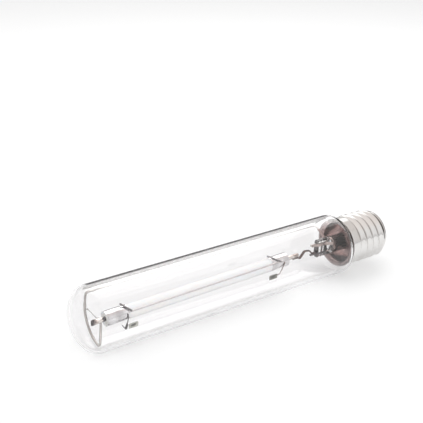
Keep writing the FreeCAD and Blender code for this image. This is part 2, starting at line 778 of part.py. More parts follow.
def buildPieces():
    plugCapX = arcTubeEndX - plugInset - plugLength
    plugDomeX = arcTubeStartX + plugInset
    domeElectrodeX = plugDomeX + plugLength + niobiumReach
    capElectrodeX = plugCapX - niobiumReach
    pieces = {
        "outer_bulb": outerBulb(),
        "getter_film": getterFilm(),
        "stem_glass": stemGlass(),
        "exhaust_tube": exhaustTube(),
        "stem_collar": stemCollar(),
        "frame_lead": innerLead(1),
        "arc_lead": innerLead(-1),
        "side_lead": sideLead(),
        "centre_lead": centreLead(),
        "frame_ribbon": frameRibbon(),
        "frame_wire": frameWire(),
        "cap_end_strap": capStrap(),
        "jumper_wire": jumperWire(),
        "arc_tube": hang(arcTube()),
        "dome_end_plug": hang(endPlug(plugDomeX)),
        "cap_end_plug": hang(endPlug(plugCapX)),
        "dome_niobium_tube": hang(domeNiobium()),
        "cap_niobium_tube": hang(capNiobium()),
        "dome_electrode": hang(electrode(domeElectrodeX, 1)),
        "cap_electrode": hang(electrode(capElectrodeX, -1)),
        "dome_end_shield": hang(endShield(arcTubeStartX, domeShieldEndX)),
        "cap_end_shield": hang(endShield(capShieldStartX, arcTubeEndX)),
        "antenna_wire": hang(antennaWire()),
        "dome_cross_bar": hang(crossBar(domeBarX, domeBarSlant)),
        "cap_cross_bar": hang(crossBar(capBarX, capBarSlant)),
        "dome_getter_wire": hang(domeGetterWire()),
        "dome_getter_plate": hang(getterPlate(domeShieldEndX - domeGetterInset, -domeGetterDrop)),
        "cap_getter_wire": hang(capGetterWire()),
        "cap_getter_plate": hang(getterPlate(arcTubeEndX - capGetterInset, -capGetterDrop)),
        "cap_shell": capShell(),
        "capping_cement": cappingCement(),
        "cap_insulator": capInsulator(),
        "centre_contact": centreContact(),
        "contact_solder": contactSolder(),
    }
    return pieces


os.makedirs("parts", exist_ok=True)
for name, shape in buildPieces().items():
    solid = place(shape)
    if len(solid.Solids) == 1:
        solid = solid.Solids[0]
    print(name, "solids", len(solid.Solids), "valid", solid.isValid(), "volume", round(solid.Volume, 2),
          "faces", len(solid.Faces))
    solid.exportStep("parts/" + name + ".step")
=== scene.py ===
import bmesh
import bpy
import math
import numpy as np
from mathutils import Matrix, Vector


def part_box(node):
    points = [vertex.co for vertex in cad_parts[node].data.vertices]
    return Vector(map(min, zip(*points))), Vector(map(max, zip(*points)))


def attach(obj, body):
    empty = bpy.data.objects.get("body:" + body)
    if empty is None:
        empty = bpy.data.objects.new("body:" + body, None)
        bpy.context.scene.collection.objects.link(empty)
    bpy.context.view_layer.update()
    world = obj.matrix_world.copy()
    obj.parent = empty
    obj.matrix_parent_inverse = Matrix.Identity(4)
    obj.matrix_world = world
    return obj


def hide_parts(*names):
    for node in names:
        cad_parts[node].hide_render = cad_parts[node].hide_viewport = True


# A clear tubular high pressure sodium lamp lying on a white floor.
# Shapes are worked out in millimetres about the lamp's own axis: x runs from the tip of the
# dome to the centre contact, y and z go across. place() sets them down where the CAD has them.

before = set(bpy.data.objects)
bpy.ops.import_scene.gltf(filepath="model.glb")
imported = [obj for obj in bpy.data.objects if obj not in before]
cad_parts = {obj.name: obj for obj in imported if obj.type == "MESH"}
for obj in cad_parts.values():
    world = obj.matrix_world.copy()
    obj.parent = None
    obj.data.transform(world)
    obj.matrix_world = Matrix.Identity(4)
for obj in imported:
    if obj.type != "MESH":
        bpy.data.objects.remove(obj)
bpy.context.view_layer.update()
bulbLow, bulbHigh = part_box("outer_bulb")
millimetre = 0.001
seamGap = 2e-7  # metres: points nearer than this are merged
domeTip = bulbLow.x
axisHeight = 0.5 * (bulbLow.z + bulbHigh.z)
bulbRadius = 0.5 * (bulbHigh.z - bulbLow.z) / millimetre
print("frame loaded, bulb radius", round(bulbRadius, 2), "mm")


def place(points):
    # metres = millimetres / 1000, moved by the dome's tip along x and by the axis height along z
    points = np.asarray(points, float).reshape(-1, 3)
    return points * millimetre + np.array([domeTip, 0.0, axisHeight])


def around(count):
    # even angles once round
    return np.linspace(0.0, 2.0 * np.pi, count, endpoint=False)


def patch(points, wrapRows=False, wrapColumns=True):
    # quads between neighbours of a rows x columns grid, each wrapped way joined up with its start
    points = np.asarray(points, float)
    rows, columns = points.shape[:2]
    index = np.arange(rows * columns).reshape(rows, columns)
    if wrapRows:
        index = np.vstack([index, index[:1]])
    if wrapColumns:
        index = np.hstack([index, index[:, :1]])
    quads = np.stack([index[:-1, :-1], index[:-1, 1:], index[1:, 1:], index[1:, :-1]], axis=-1)
    return points.reshape(-1, 3), quads.reshape(-1, 4)


def linked(name, data):
    # a new object in the scene
    made = bpy.data.objects.new(name, data)
    bpy.context.scene.collection.objects.link(made)
    return made


def makePiece(name, patches, finish, replaced, sharpAngle=40.0):
    # joins patches into one mesh, merges seams and poles, turns faces outwards, and lays it
    # over the CAD node that it replaces
    vertices, quads, start = [], [], 0
    for points, faces in patches:
        vertices.append(points)
        quads.append(faces + start)
        start += len(points)
    mesh = bpy.data.meshes.new(name)
    mesh.from_pydata(place(np.vstack(vertices)).tolist(), [], np.vstack(quads).tolist())
    soup = bmesh.new()
    soup.from_mesh(mesh)
    bmesh.ops.remove_doubles(soup, verts=soup.verts, dist=seamGap)
    bare = [edge for edge in soup.edges if not edge.link_faces]
    bmesh.ops.delete(soup, geom=bare, context="EDGES")
    bmesh.ops.recalc_face_normals(soup, faces=soup.faces)
    soup.to_mesh(mesh)
    soup.free()
    mesh.polygons.foreach_set("use_smooth", np.ones(len(mesh.polygons), bool))
    mesh.set_sharp_from_angle(angle=math.radians(sharpAngle))
    mesh.materials.append(finish)
    piece = linked(name, mesh)
    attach(piece, "root")
    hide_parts(replaced)


def arcPoints(centreX, centreR, radius, startDegrees, endDegrees, count):
    # (x, r) = centre + radius (cos a, sin a)
    a = np.radians(np.linspace(startDegrees, endDegrees, count))
    return np.stack([centreX + radius * np.cos(a), centreR + radius * np.sin(a)], axis=1)


def spun(profile, segments=128):
    # a closed (x, r) outline turned round the axis: (x, r sin a, r cos a)
    profile = np.asarray(profile, float)
    a = around(segments)
    x = np.repeat(profile[:, :1], segments, axis=1)
    r = profile[:, 1:]
    return patch(np.stack([x, r * np.sin(a), r * np.cos(a)], axis=-1), wrapRows=True)


def finely(outline, step):
    # points every step or so along a closed outline, its own corners kept
    outline = np.asarray(outline, float)
    following = np.roll(outline, -1, axis=0)
    counts = np.maximum(1, np.ceil(np.linalg.norm(following - outline, axis=1) / step)).astype(int)
    return np.vstack([a + (b - a) * np.arange(n)[:, None] / n
                      for a, b, n in zip(outline, following, counts)])


def eased(outline, radius=0.12, count=4):
    # a closed (x, r) outline whose corners off the axis are cut by quadratic curves of this reach
    outline = np.asarray(outline, float)
    before, after = np.roll(outline, 1, axis=0), np.roll(outline, -1, axis=0)
    t = np.linspace(0.0, 1.0, count)[:, None]
    rounded = []
    for p, a, b in zip(outline, before, after):
        if p[1] < 1e-6:
            rounded.append(p[None])
            continue
        lead, leave = np.linalg.norm(a - p), np.linalg.norm(b - p)
        start = p + (a - p) * min(radius / lead, 0.45)
        end = p + (b - p) * min(radius / leave, 0.45)
        rounded.append((1 - t) ** 2 * start + 2 * t * (1 - t) * p + t ** 2 * end)
    return np.vstack(rounded)


def straight(start, end, step):
    # even points from start to end, about four steps apart
    count = max(2, int(np.linalg.norm(end - start) / (4.0 * step)) + 1)
    return start + (end - start) * np.linspace(0.0, 1.0, count)[:, None]


def roundedPath(corners, bend, step=0.35):
    # straight runs through the corners, joined by tangent arcs of radius bend
    corners = [np.asarray(c, float) for c in corners]
    last, pieces = corners[0], []
    for before, corner, after in zip(corners, corners[1:], corners[2:]):
        u = (before - corner) / np.linalg.norm(before - corner)
        v = (after - corner) / np.linalg.norm(after - corner)
        half = 0.5 * math.acos(max(-1.0, min(1.0, float(u @ v))))
        middle = (u + v) / np.linalg.norm(u + v)
        centre = corner + middle * bend / math.sin(half)
        start = corner + u * bend / math.tan(half)
        a, turn = start - centre, math.pi - 2.0 * half
        b = np.cross(np.cross(a, v - u), a)
        b = b / np.linalg.norm(b) * bend
        count = max(6, int(turn * bend / step) + 2)
        angle = np.linspace(0.0, turn, count)[:, None]
        pieces += [straight(last, start, step), centre + a * np.cos(angle) + b * np.sin(angle)]
        last = pieces[-1][-1]
    path = np.vstack(pieces + [straight(last, corners[-1], step)])
    apart = np.linalg.norm(np.diff(path, axis=0), axis=1) > 1e-6
    return path[np.concatenate([[True], apart])]


def carried(path, section, lean=(0.31, 0.52, 0.8), across=None):
    # a closed (a, b) section carried along a path: point + a side + b up. Side is square to the
    # path and to lean, or lies along across; both ends are drawn in to 0.8 of the section over a
    # fifth of its reach and closed there
    path, section = np.asarray(path, float), np.asarray(section, float)
    tangent = np.gradient(path, axis=0)
    tangent /= np.linalg.norm(tangent, axis=1, keepdims=True)
    reach = np.abs(section)
    if across is None:
        side = np.cross(tangent, np.asarray(lean, float))
        cut = 0.2 * reach.max()
    else:
        across = np.asarray(across, float)
        side = across - tangent * (tangent @ across)[:, None]
        cut = 0.2 * reach.min(axis=1).max()
    side /= np.linalg.norm(side, axis=1, keepdims=True)
    up = np.cross(side, tangent)
    stations = np.concatenate([[0, 0], np.arange(len(path)), [-1, -1]])
    grow = np.ones(len(stations))
    grow[[0, 1, -2, -1]] = 0.0, 0.8, 0.8, 0.0
    centres = path[stations]
    centres[2] += tangent[0] * cut
    centres[-3] -= tangent[-1] * cut
    offsets = (section[None, :, :1] * side[stations][:, None]
               + section[None, :, 1:] * up[stations][:, None])
    return patch(centres[:, None] + offsets * grow[:, None, None])


def roundSection(radius, sides=20):
    # circle: radius (cos a, sin a)
    a = around(sides)
    return np.stack([radius * np.cos(a), radius * np.sin(a)], axis=1)


def stripSection(width, thickness, sides=28, power=5.0):
    # superellipse |a / w|^p + |b / t|^p = 1, for rolled ribbon with soft edges
    a = around(sides)
    c, s = np.cos(a), np.sin(a)
    return np.stack([0.5 * width * np.sign(c) * np.abs(c) ** (2.0 / power),
                     0.5 * thickness * np.sign(s) * np.abs(s) ** (2.0 / power)], axis=1)


def smoothStep(low, high, x):
    # 3 t^2 - 2 t^3 between low and high
    t = np.clip((np.asarray(x, float) - low) / (high - low), 0.0, 1.0)
    return t * t * (3.0 - 2.0 * t)


def lofted(stations, segments=96):
    # ovals across the axis, one for each (x, half height, half depth, power, z) station
    s = np.asarray(stations, float)
    a = around(segments)
    c, d = np.cos(a)[None], np.sin(a)[None]
    shape = 2.0 / s[:, 3:4]
    z = s[:, 4:5] + s[:, 1:2] * np.sign(c) * np.abs(c) ** shape
    y = s[:, 2:3] * np.sign(d) * np.abs(d) ** shape
    return np.stack([np.repeat(s[:, :1], segments, axis=1), y, z], axis=-1)


class Wire:
    # a socket or a number; sums, differences and products add Math nodes
    def __init__(self, tree, socket):
        self.tree, self.socket = tree, socket

    def math(self, operation, *others):
        # one Math node on this value and the others
        node = self.tree.nodes.new("ShaderNodeMath")
        node.operation = operation
        for slot, value in zip(node.inputs, (self, *others)):
            value = value.socket if isinstance(value, Wire) else value
            if isinstance(value, bpy.types.NodeSocket):
                self.tree.links.new(value, slot)
            else:
                slot.default_value = value
        return Wire(self.tree, node.outputs[0])

    def __add__(self, other):
        return self.math("ADD", other)

    def __radd__(self, other):
        return self.math("ADD", other)

    def __sub__(self, other):
        return self.math("SUBTRACT", other)

    def __rsub__(self, other):
        return Wire(self.tree, other).math("SUBTRACT", self)

    def __mul__(self, other):
        return self.math("MULTIPLY", other)

    def __rmul__(self, other):
        return self.math("MULTIPLY", other)

    def above(self, low, high):
        # (value - low) / (high - low), held between 0 and 1; with low over high it falls instead
        return ((self - low) * (1.0 / (high - low))).math("MINIMUM", 1.0).math("MAXIMUM", 0.0)


class Finish:
    # one material, or the world: node() makes any node, coordinates come from the object itself
    def __init__(self, name, worldTree=None):
        if worldTree is None:
            self.material = bpy.data.materials.new(name)
            self.material.use_nodes = True
        self.tree = worldTree or self.material.node_tree
        self.tree.nodes.clear()
        kind = "World" if worldTree else "Material"
        self.output = self.tree.nodes.new("ShaderNodeOutput" + kind)

    def node(self, kind, settings=None, values=None, output=0):
        # settings first, with a ramp's stops among them, then values or links for the sockets
        made = self.tree.nodes.new("ShaderNode" + kind)
        for key, value in (settings or {}).items():
            if key == "stops":
                ramp = made.color_ramp
                while len(ramp.elements) < len(value):
                    ramp.elements.new(1.0)
                for element, (position, colour) in zip(ramp.elements, value):
                    element.position = position
                    element.color = (*colour, 1.0)
            else:
                setattr(made, key, value)
        for key, value in (values or {}).items():
            slot = made.inputs[key]
            value = value.socket if isinstance(value, Wire) else value
            if isinstance(value, bpy.types.NodeSocket):
                self.tree.links.new(value, slot)
            elif isinstance(value, tuple) and len(slot.default_value) > len(value):
                slot.default_value = (*value, 1.0)  # a colour, opaque
            else:
                slot.default_value = value
        return Wire(self.tree, made.outputs[output])

    def position(self):
        # the object's own coordinates, in metres
        return self.node("TexCoord", output="Object")

    def stretched(self, scale):
        # position times a scale on each axis
        return self.node("Mapping", None, {"Vector": self.position(), "Scale": scale})

    def noise(self, vector, scale, detail=3.0, roughness=0.5):
        # 0 to 1, with about this many lumps to the metre
        return self.node("TexNoise", None, {"Vector": vector, "Scale": scale, "Detail": detail,
                                            "Roughness": roughness})

    def along(self, axis):
        # one coordinate of the object, in metres
        return self.node("SeparateXYZ", None, {0: self.position()}, output=axis)

    def lengthwise(self, start, full):
        # 0 to 1 along the lamp, in millimetres from the dome's tip
        return self.along(0).above(domeTip + start * millimetre, domeTip + full * millimetre)

    def upwards(self, low, high):
        # 0 to 1 upwards, in millimetres over the lamp's axis
        return self.along(2).above(axisHeight + low * millimetre, axisHeight + high * millimetre)

    def outwards(self, near, far):
        # 0 to 1 away from the lamp's axis, in millimetres: the root of y^2 + z^2
        y, z = self.along(1), self.along(2) - axisHeight
        return (y * y + z * z).math("SQRT").above(near * millimetre, far * millimetre)

    def ray(self, kind):
        # 1 for rays of this kind, 0 for the rest
        return self.node("LightPath", output="Is " + kind + " Ray")

    def vector(self, operation, *values):
        # one vector sum on the values
        return self.node("VectorMath", {"operation": operation}, dict(enumerate(values)))

    def blend(self, factor, first, second):
        # first where the factor is 0, second where it is 1
        return self.node("Mix", {"data_type": "RGBA"}, {0: factor, 6: first, 7: second}, output=2)

    def bump(self, height, strength, distance):
        # a normal tilted by a height that goes from 0 to 1 over distance
        values = {"Height": height, "Strength": strength, "Distance": distance}
        return self.node("Bump", None, values)

    def surface(self, values):
        # the Principled shader
        return self.node("BsdfPrincipled", None, values)

    def done(self, shader):
        # joins the shader to the output and hands back the material
        self.tree.links.new(shader.socket, self.output.inputs[0])
        return getattr(self, "material", None)


def drawnMetal(name, colour, dark, roughness, grainScale=900.0, grain=0.15):
    # metal whose tone drifts with a coarse noise and whose polish drifts with a fine one
    f = Finish(name)
    drift = f.noise(f.position(), 160.0, 3.0)
    fine = f.noise(f.stretched((0.25, 1.0, 1.0)), grainScale, 2.0)
    return f.done(f.surface({
        "Base Color": f.blend(drift.above(0.35, 0.7), colour, dark), "Metallic": 1.0,
        "Roughness": roughness + (fine - 0.5) * grain, "Normal": f.bump(fine, 0.12, 0.00005)}))


frameLook = {"dull": (0.50, 0.475, 0.455), "dark": (0.38, 0.36, 0.345),
             "welded": (0.42, 0.33, 0.31), "bright": (0.97, 0.955, 0.95), "roughness": 0.24,
             "brightX": (24.0, 45.0), "brightR": (15.5, 17.5), "weldedX": (222.5, 224.5)}


def frameMetal(look):
    # bright drawn wire where it runs along the glass, dulled by heat round the part hoop and
    # browned at its welded end
    f = Finish("frame_nickel")
    fine = f.noise(f.position(), 900.0, 2.0)
    drift = f.noise(f.position(), 200.0, 3.0)
    bright = f.lengthwise(*look["brightX"]) * f.outwards(*look["brightR"])
    dull = f.blend(drift.above(0.35, 0.7), look["dull"], look["dark"])
    dull = f.blend(f.lengthwise(*look["weldedX"]), dull, look["welded"])
    return f.done(f.surface({
        "Base Color": f.blend(bright, dull, look["bright"]), "Metallic": 1.0,
        "Roughness": look["roughness"] + (fine - 0.5) * 0.12 + bright * 0.1,
        "Normal": f.bump(fine, 0.12, 0.00005)}))


niobiumLook = {"pale": (0.82, 0.77, 0.73), "dark": (0.42, 0.36, 0.335), "burnt": (0.06, 0.05, 0.05),
               "pinched": (0.07, 0.06, 0.06), "roughness": 0.34, "pinchedX": (15.5, 17.8),
               "burntX": (20.8, 23.2), "burntEndX": (60.0, 70.0)}


def niobiumMetal(look):
    # warm grey drawn tube with drawing lines along it, blackened where its end is pinched shut
    # and, in streaks, next to the hot end of the arc tube
    f = Finish("niobium")
    lines = f.noise(f.stretched((0.1, 1.0, 1.0)), 1200.0, 2.0)
    drift = f.noise(f.stretched((0.6, 1.0, 1.0)), 420.0, 3.0)
    clean = f.lengthwise(*look["pinchedX"])
    burnt = f.lengthwise(*look["burntX"]) * (1.0 - f.lengthwise(*look["burntEndX"]))
    tone = f.blend(drift.above(0.42, 0.58), look["pale"], look["dark"])
    tone = f.blend(burnt * drift.above(0.36, 0.50), tone, look["burnt"])
    return f.done(f.surface({
        "Base Color": f.blend(clean, look["pinched"], tone), "Metallic": 1.0,
        "Roughness": look["roughness"] - clean * 0.20 + (lines - 0.5) * 0.1,
        "Normal": f.bump(lines, 0.15, 0.00005)}))


filmLook = {"low": (0.30, 0.225, 0.215), "high": (0.52, 0.365, 0.35), "pale": (0.90, 0.84, 0.83),
            "deep": (0.22, 0.175, 0.17), "swirl": (0.62, 0.50, 0.49), "frontX": (231.2, 232.7),
            "rimR": (18.7, 19.9), "thinZ": (11.5, 17.5)}
neckLook = {"low": (0.76, 0.66, 0.645), "high": (0.80, 0.68, 0.66), "pale": (0.90, 0.84, 0.83),
            "deep": (0.52, 0.45, 0.44), "swirl": (0.90, 0.84, 0.83)}
paintedLightByHeight = {"highZ": (-4.0, 17.0), "paleZ": (7.5, 15.5)}  # how both turn lighter with height, in millimetres: painted light from above


def filmShader(f, look, alpha=None):
    # vapour-laid metal, its tone painted light from above: grey low down, browner higher up and
    # pale near the top; painted reflections as radial lines from the lamp's axis (a noise of the
    # direction from the axis alone), dark for the leads and pale between them; paler swirls and
    # fine streaks
    swirl = f.noise(f.stretched((1.0, 1.0, 0.6)), 55.0, 4.0, 0.6)
    streak = f.noise(f.stretched((0.2, 1.0, 0.35)), 130.0, 2.0)
    centred = f.vector("SUBTRACT", f.position(), (0.0, 0.0, axisHeight))
    across = f.vector("MULTIPLY", centred, (0.0, 1.0, 1.0))
    # painted reflections of the leads: a noise of the direction from the axis
    paintedLeadReflections = f.noise(f.vector("NORMALIZE", across), 6.0, 4.0, 0.65)
    # painted light from above: browner and then pale towards the top
    tone = f.blend(f.upwards(*paintedLightByHeight["highZ"]), look["low"], look["high"])
    tone = f.blend(f.upwards(*paintedLightByHeight["paleZ"]), tone, look["pale"])
    tone = f.blend(streak.above(0.50, 0.62) * 0.7, tone, look["deep"])
    # painted reflections: dark radial lines for the leads
    tone = f.blend(paintedLeadReflections.above(0.50, 0.56) * 0.5, tone, look["deep"])
    # paler between the painted reflections of the leads, and in the film's own swirls
    paler = paintedLeadReflections.above(0.43, 0.38) * 0.6 + swirl.above(0.52, 0.75) * 0.6
    tone = f.blend(paler, tone, look["swirl"])
    sockets = {"Base Color": tone, "Metallic": 1.0, "Roughness": 0.08 + streak * 0.20,
               "Normal": f.bump(swirl + streak * 0.4 + paintedLeadReflections * 0.5, 0.35, 0.0006)}
    if alpha:
        sockets["Alpha"] = alpha * (0.7 + swirl).math("MINIMUM", 1.0)
    return f.surface(sockets)


def mirrorFilm(look):
    # the film on the bulb thins out at its front edge, at its outer rim and towards the top
    f = Finish("mirror_film")
    left = 1.0 - f.upwards(*look["thinZ"]) * 0.85
    rim = 1.0 - f.outwards(*look["rimR"])
    return f.done(filmShader(f, look, f.lengthwise(*look["frontX"]) * left * rim))


def filmedGlass(name, tint, shadowTint, waviness, coatedX):
    # clear glass; a slow noise moves the surface a little, lamps shine straight through, and the
    # part deeper than coatedX has caught the metal film
    f = Finish(name)
    waves = f.noise(f.stretched((0.35, 1.0, 1.0)), 70.0, 1.0)
    glass = f.surface({"Base Color": tint, "Roughness": 0.0, "IOR": 1.48,
                       "Transmission Weight": 1.0, "Normal": f.bump(waves, waviness, 0.0004)})
    coated = f.node("MixShader", None, {0: f.lengthwise(*coatedX), 1: glass,
                                        2: filmShader(f, neckLook)})
    clear = f.node("BsdfTransparent", None, {"Color": shadowTint})
    return f.done(f.node("MixShader", None, {0: f.ray("Shadow"), 1: coated, 2: clear}))


ceramicLook = {"pale": (0.94, 0.93, 0.93), "warm": (0.945, 0.90, 0.88), "rim": (0.50, 0.44, 0.46),
               "roughness": 0.5, "ior": 1.35, "soft": 0.8, "reach": 0.0012}


def sinteredTube(look):
    # translucent alumina: light passes and scatters, a little warmer in places; darker at its rims
    # where it is seen edge-on, a painted shade that stands for the longer path through the wall
    f = Finish("sintered_alumina")
    cloud = f.noise(f.stretched((0.15, 1.0, 1.0)), 120.0, 3.0)
    # painted shade: darker where the surface turns edge-on to the view, an outline round the tube
    rim = f.node("LayerWeight", None, {"Blend": 0.5}, output="Facing").above(0.72, 0.95)
    tone = f.blend(cloud.above(0.35, 0.7), look["pale"], look["warm"])
    return f.done(f.surface({
        "Base Color": f.blend(rim, tone, look["rim"]), "Roughness": look["roughness"],
        "IOR": look["ior"], "Subsurface Weight": look["soft"], "Subsurface Scale": look["reach"],
        "Subsurface Radius": (1.0, 0.85, 0.75)}))


def matte(name, colour, dark, scale, depth, roughness):
    # fired or baked grain: colour and height follow one noise
    f = Finish(name)
    grain = f.noise(f.position(), scale, 5.0, 0.6)
    return f.done(f.surface({"Base Color": f.blend(grain.above(0.35, 0.7), colour, dark),
                             "Roughness": roughness, "Normal": f.bump(grain, 0.4, depth)}))


shellLook = {"bright": (0.78, 0.77, 0.76), "stained": (0.68, 0.66, 0.64),
             "worn": (0.56, 0.54, 0.52), "roughness": 0.045, "crestR": (18.8, 19.8)}


def platedShell(look):
    # bright nickel: faint drawing lines round the shell, dull worn crests, small stains
    f = Finish("nickel_plating")
    stain = f.noise(f.position(), 90.0, 4.0, 0.6)
    lines = f.noise(f.stretched((9.0, 0.6, 0.6)), 210.0, 2.0)
    scratch = f.noise(f.stretched((1.0, 0.3, 0.3)), 1400.0, 2.0).above(0.55, 0.75)
    wear = f.outwards(*look["crestR"]) * (0.3 + scratch * 0.7)
    tone = f.blend(stain.above(0.45, 0.75) * 0.6, look["bright"], look["stained"])
    return f.done(f.surface({
        "Base Color": f.blend(wear * 0.35, tone, look["worn"]), "Metallic": 1.0,
        "Roughness": look["roughness"] + stain * 0.05 + wear * 0.10 + lines * 0.04,
        "Normal": f.bump(lines * 0.5 + stain, 0.16, 0.00012)}))


def blackGlass():
    # fused black glass with tiny pits
    f = Finish("black_glass")
    pits = f.noise(f.position(), 700.0, 2.0).above(0.62, 0.72)
    return f.done(f.surface({
        "Base Color": f.blend(pits, (0.010, 0.010, 0.012), (0.05, 0.05, 0.055)),
        "Roughness": 0.12 + pits * 0.35, "Coat Weight": 0.6,
        "Normal": f.bump(1.0 - pits, 0.25, 0.0001)}))


troughLook = {"colour": (0.10, 0.10, 0.095), "startY": -0.00655, "fullY": -0.0060}


def getterSheet(name, colour, dark):
    # pressed sheet that is darker down in its trough, where y is nearer to the lamp's axis
    f = Finish(name)
    grain = f.noise(f.position(), 420.0, 3.0)
    deep = f.along(1).above(troughLook["startY"], troughLook["fullY"])
    tone = f.blend(grain.above(0.3, 0.7), colour, dark)
    return f.done(f.surface({
        "Base Color": f.blend(deep, tone, troughLook["colour"]), "Metallic": 0.9,
        "Roughness": 0.32 + deep * 0.3, "Normal": f.bump(grain, 0.2, 0.00008)}))


bulbFinish = filmedGlass("lamp_glass", (0.958, 0.955, 0.958), (0.985, 0.985, 0.985), 0.05,
                         (237.8, 238.2))
stemFinish = filmedGlass("stem_glass", (0.975, 0.97, 0.972), (0.96, 0.96, 0.96), 0.12,
                         (238.5, 241.5))
nickelFinish = drawnMetal("drawn_nickel", (0.66, 0.65, 0.63), (0.52, 0.51, 0.50), 0.26)
frameFinish = frameMetal(frameLook)
darkFinish = drawnMetal("grey_molybdenum", (0.24, 0.22, 0.23), (0.13, 0.12, 0.13), 0.30)
barFinish = drawnMetal("bar_wire", (0.24, 0.23, 0.235), (0.15, 0.14, 0.145), 0.32)
brownedFinish = drawnMetal("browned_nickel", (0.46, 0.385, 0.36), (0.22, 0.175, 0.16), 0.24)
clipFinish = drawnMetal("fired_clip", (0.13, 0.12, 0.12), (0.07, 0.065, 0.065), 0.38)
strapFinish = drawnMetal("brown_ribbon", (0.15, 0.11, 0.10), (0.08, 0.06, 0.055), 0.30)
copperFinish = drawnMetal("copper_lead", (0.56, 0.44, 0.39), (0.40, 0.30, 0.26), 0.30)
antennaFinish = drawnMetal("antenna_wire", (0.74, 0.70, 0.70), (0.62, 0.57, 0.58), 0.40)
niobiumFinish = niobiumMetal(niobiumLook)
foilFinish = drawnMetal("shield_foil", (0.86, 0.85, 0.86), (0.60, 0.58, 0.59), 0.14, 300.0, 0.12)
brassFinish = drawnMetal("contact_brass", (0.80, 0.66, 0.40), (0.62, 0.50, 0.30), 0.28)
solderFinish = drawnMetal("soft_solder", (0.70, 0.70, 0.72), (0.52, 0.52, 0.54), 0.34, 500.0, 0.2)
filmFinish = mirrorFilm(filmLook)
ceramicFinish = sinteredTube(ceramicLook)
plugFinish = matte("white_alumina", (0.90, 0.88, 0.86), (0.80, 0.77, 0.74), 900.0, 0.00004, 0.55)
cementFinish = matte("baked_cement", (0.74, 0.70, 0.63), (0.58, 0.54, 0.48), 600.0, 0.0002, 0.9)
shellFinish = platedShell(shellLook)
blackFinish = blackGlass()
getterFinish = getterSheet("getter_sheet", (0.58, 0.58, 0.53), (0.44, 0.44, 0.40))
darkGetterFinish = getterSheet("fired_getter_sheet", (0.30, 0.29, 0.26), (0.20, 0.20, 0.18))
print("finishes made:", len(bpy.data.materials))


bulb = {"wall": 1.3, "crown": 32.0, "corner": 12.0, "shoulderX": 228.0, "shoulder": 6.0,
        "fillet": 1.2, "neck": 16.8, "neckEndX": 250.0, "segments": 256}


def level(x, r):
    # (x, r) points along a straight run at one radius
    return np.stack([x, np.full_like(x, r)], axis=1)


def shoulderArcs(inset, startAngle, count, filletCount):
    # the rounded shoulder and the fillet behind it, both moved in by inset
    shoulderR = bulbRadius - bulb["shoulder"]
    filletX = bulb["shoulderX"] + bulb["shoulder"] + bulb["fillet"]
    return np.vstack([
        arcPoints(bulb["shoulderX"], shoulderR, bulb["shoulder"] - inset, startAngle, 0.0, count),
        arcPoints(filletX, shoulderR, bulb["fillet"] + inset, 180.0, 270.0, filletCount)[1:]])


def bulbSkin(inset):
    # (x, r) from the dome's pole to the open neck: the crown's arc, a corner arc that meets it and
    # the tube smoothly, the tube, the shoulder with its fillet, and the neck
    cornerR = bulbRadius - bulb["corner"]
    reach = bulb["crown"] - bulb["corner"]
    depth = bulb["crown"] - math.sqrt(reach ** 2 - cornerR ** 2)
    lean = math.degrees(math.atan2(cornerR, bulb["crown"] - depth))
    neckX = bulb["shoulderX"] + bulb["shoulder"] + bulb["fillet"]
    skin = np.vstack([
        arcPoints(bulb["crown"], 0.0, bulb["crown"] - inset, 180.0, 180.0 - lean, 28),
        arcPoints(depth, cornerR, bulb["corner"] - inset, 180.0 - lean, 90.0, 24)[1:],
        level(np.linspace(depth, bulb["shoulderX"], 60)[1:-1], bulbRadius - inset),
        shoulderArcs(inset, 90.0, 24, 16),
        level(np.linspace(neckX, bulb["neckEndX"], 8)[1:], bulb["neck"] - inset)])
    skin[0, 1] = 0.0
    return skin


outer, inner = bulbSkin(0.0), bulbSkin(bulb["wall"])
makePiece("bulb_glass", [spun(np.vstack([outer, inner[::-1]]), bulb["segments"])],
          bulbFinish, "outer_bulb", 50.0)

film = {"seat": 0.02, "thickness": 0.15, "startAngle": 55.0, "endX": 238.0, "segments": 192}


def filmSkin(depth):
    # the inner side of the bulb's shoulder and fillet, this much further in, and on up to endX
    inset = bulb["wall"] + depth
    return np.vstack([shoulderArcs(inset, film["startAngle"], 20, 20),
                      [(film["endX"], bulb["neck"] - inset)]])


outer, inner = filmSkin(film["seat"]), filmSkin(film["seat"] + film["thickness"])
makePiece("shoulder_mirror", [spun(np.vstack([outer, inner[::-1]]), film["segments"])],
          filmFinish, "getter_film", 50.0)
print("bulb and film made")


stem = {"pressX": 212.0, "pressFullX": 220.0, "boreX": 225.0, "flareX": 238.0, "neckX": 250.0,
        "rim": 1.3, "pressHalfWidth": 7.4, "pressHalfDepth": 2.8, "tube": 6.5, "wall": 1.2,
        "mouth": 14.6, "flarePower": 1.7, "softEdge": 0.9, "edgeCut": 0.7, "ripple": 0.18,
        "rippleRate": 1.9, "boreEnd": 1.2}


def opened(x, start, end):
    # trumpet: start + (end - start) t^flarePower along the flare
    t = np.clip((x - stem["flareX"]) / (stem["neckX"] - stem["flareX"]), 0.0, 1.0)
    return start + (end - start) * t ** stem["flarePower"]


def domed(x, startX, reach):
    # quarter circle that rises from 0 to 1 over reach: sqrt(1 - (1 - t)^2)
    t = np.clip((x - startX) / reach, 0.0, 1.0)
    return np.sqrt(1.0 - (1.0 - t) ** 2)


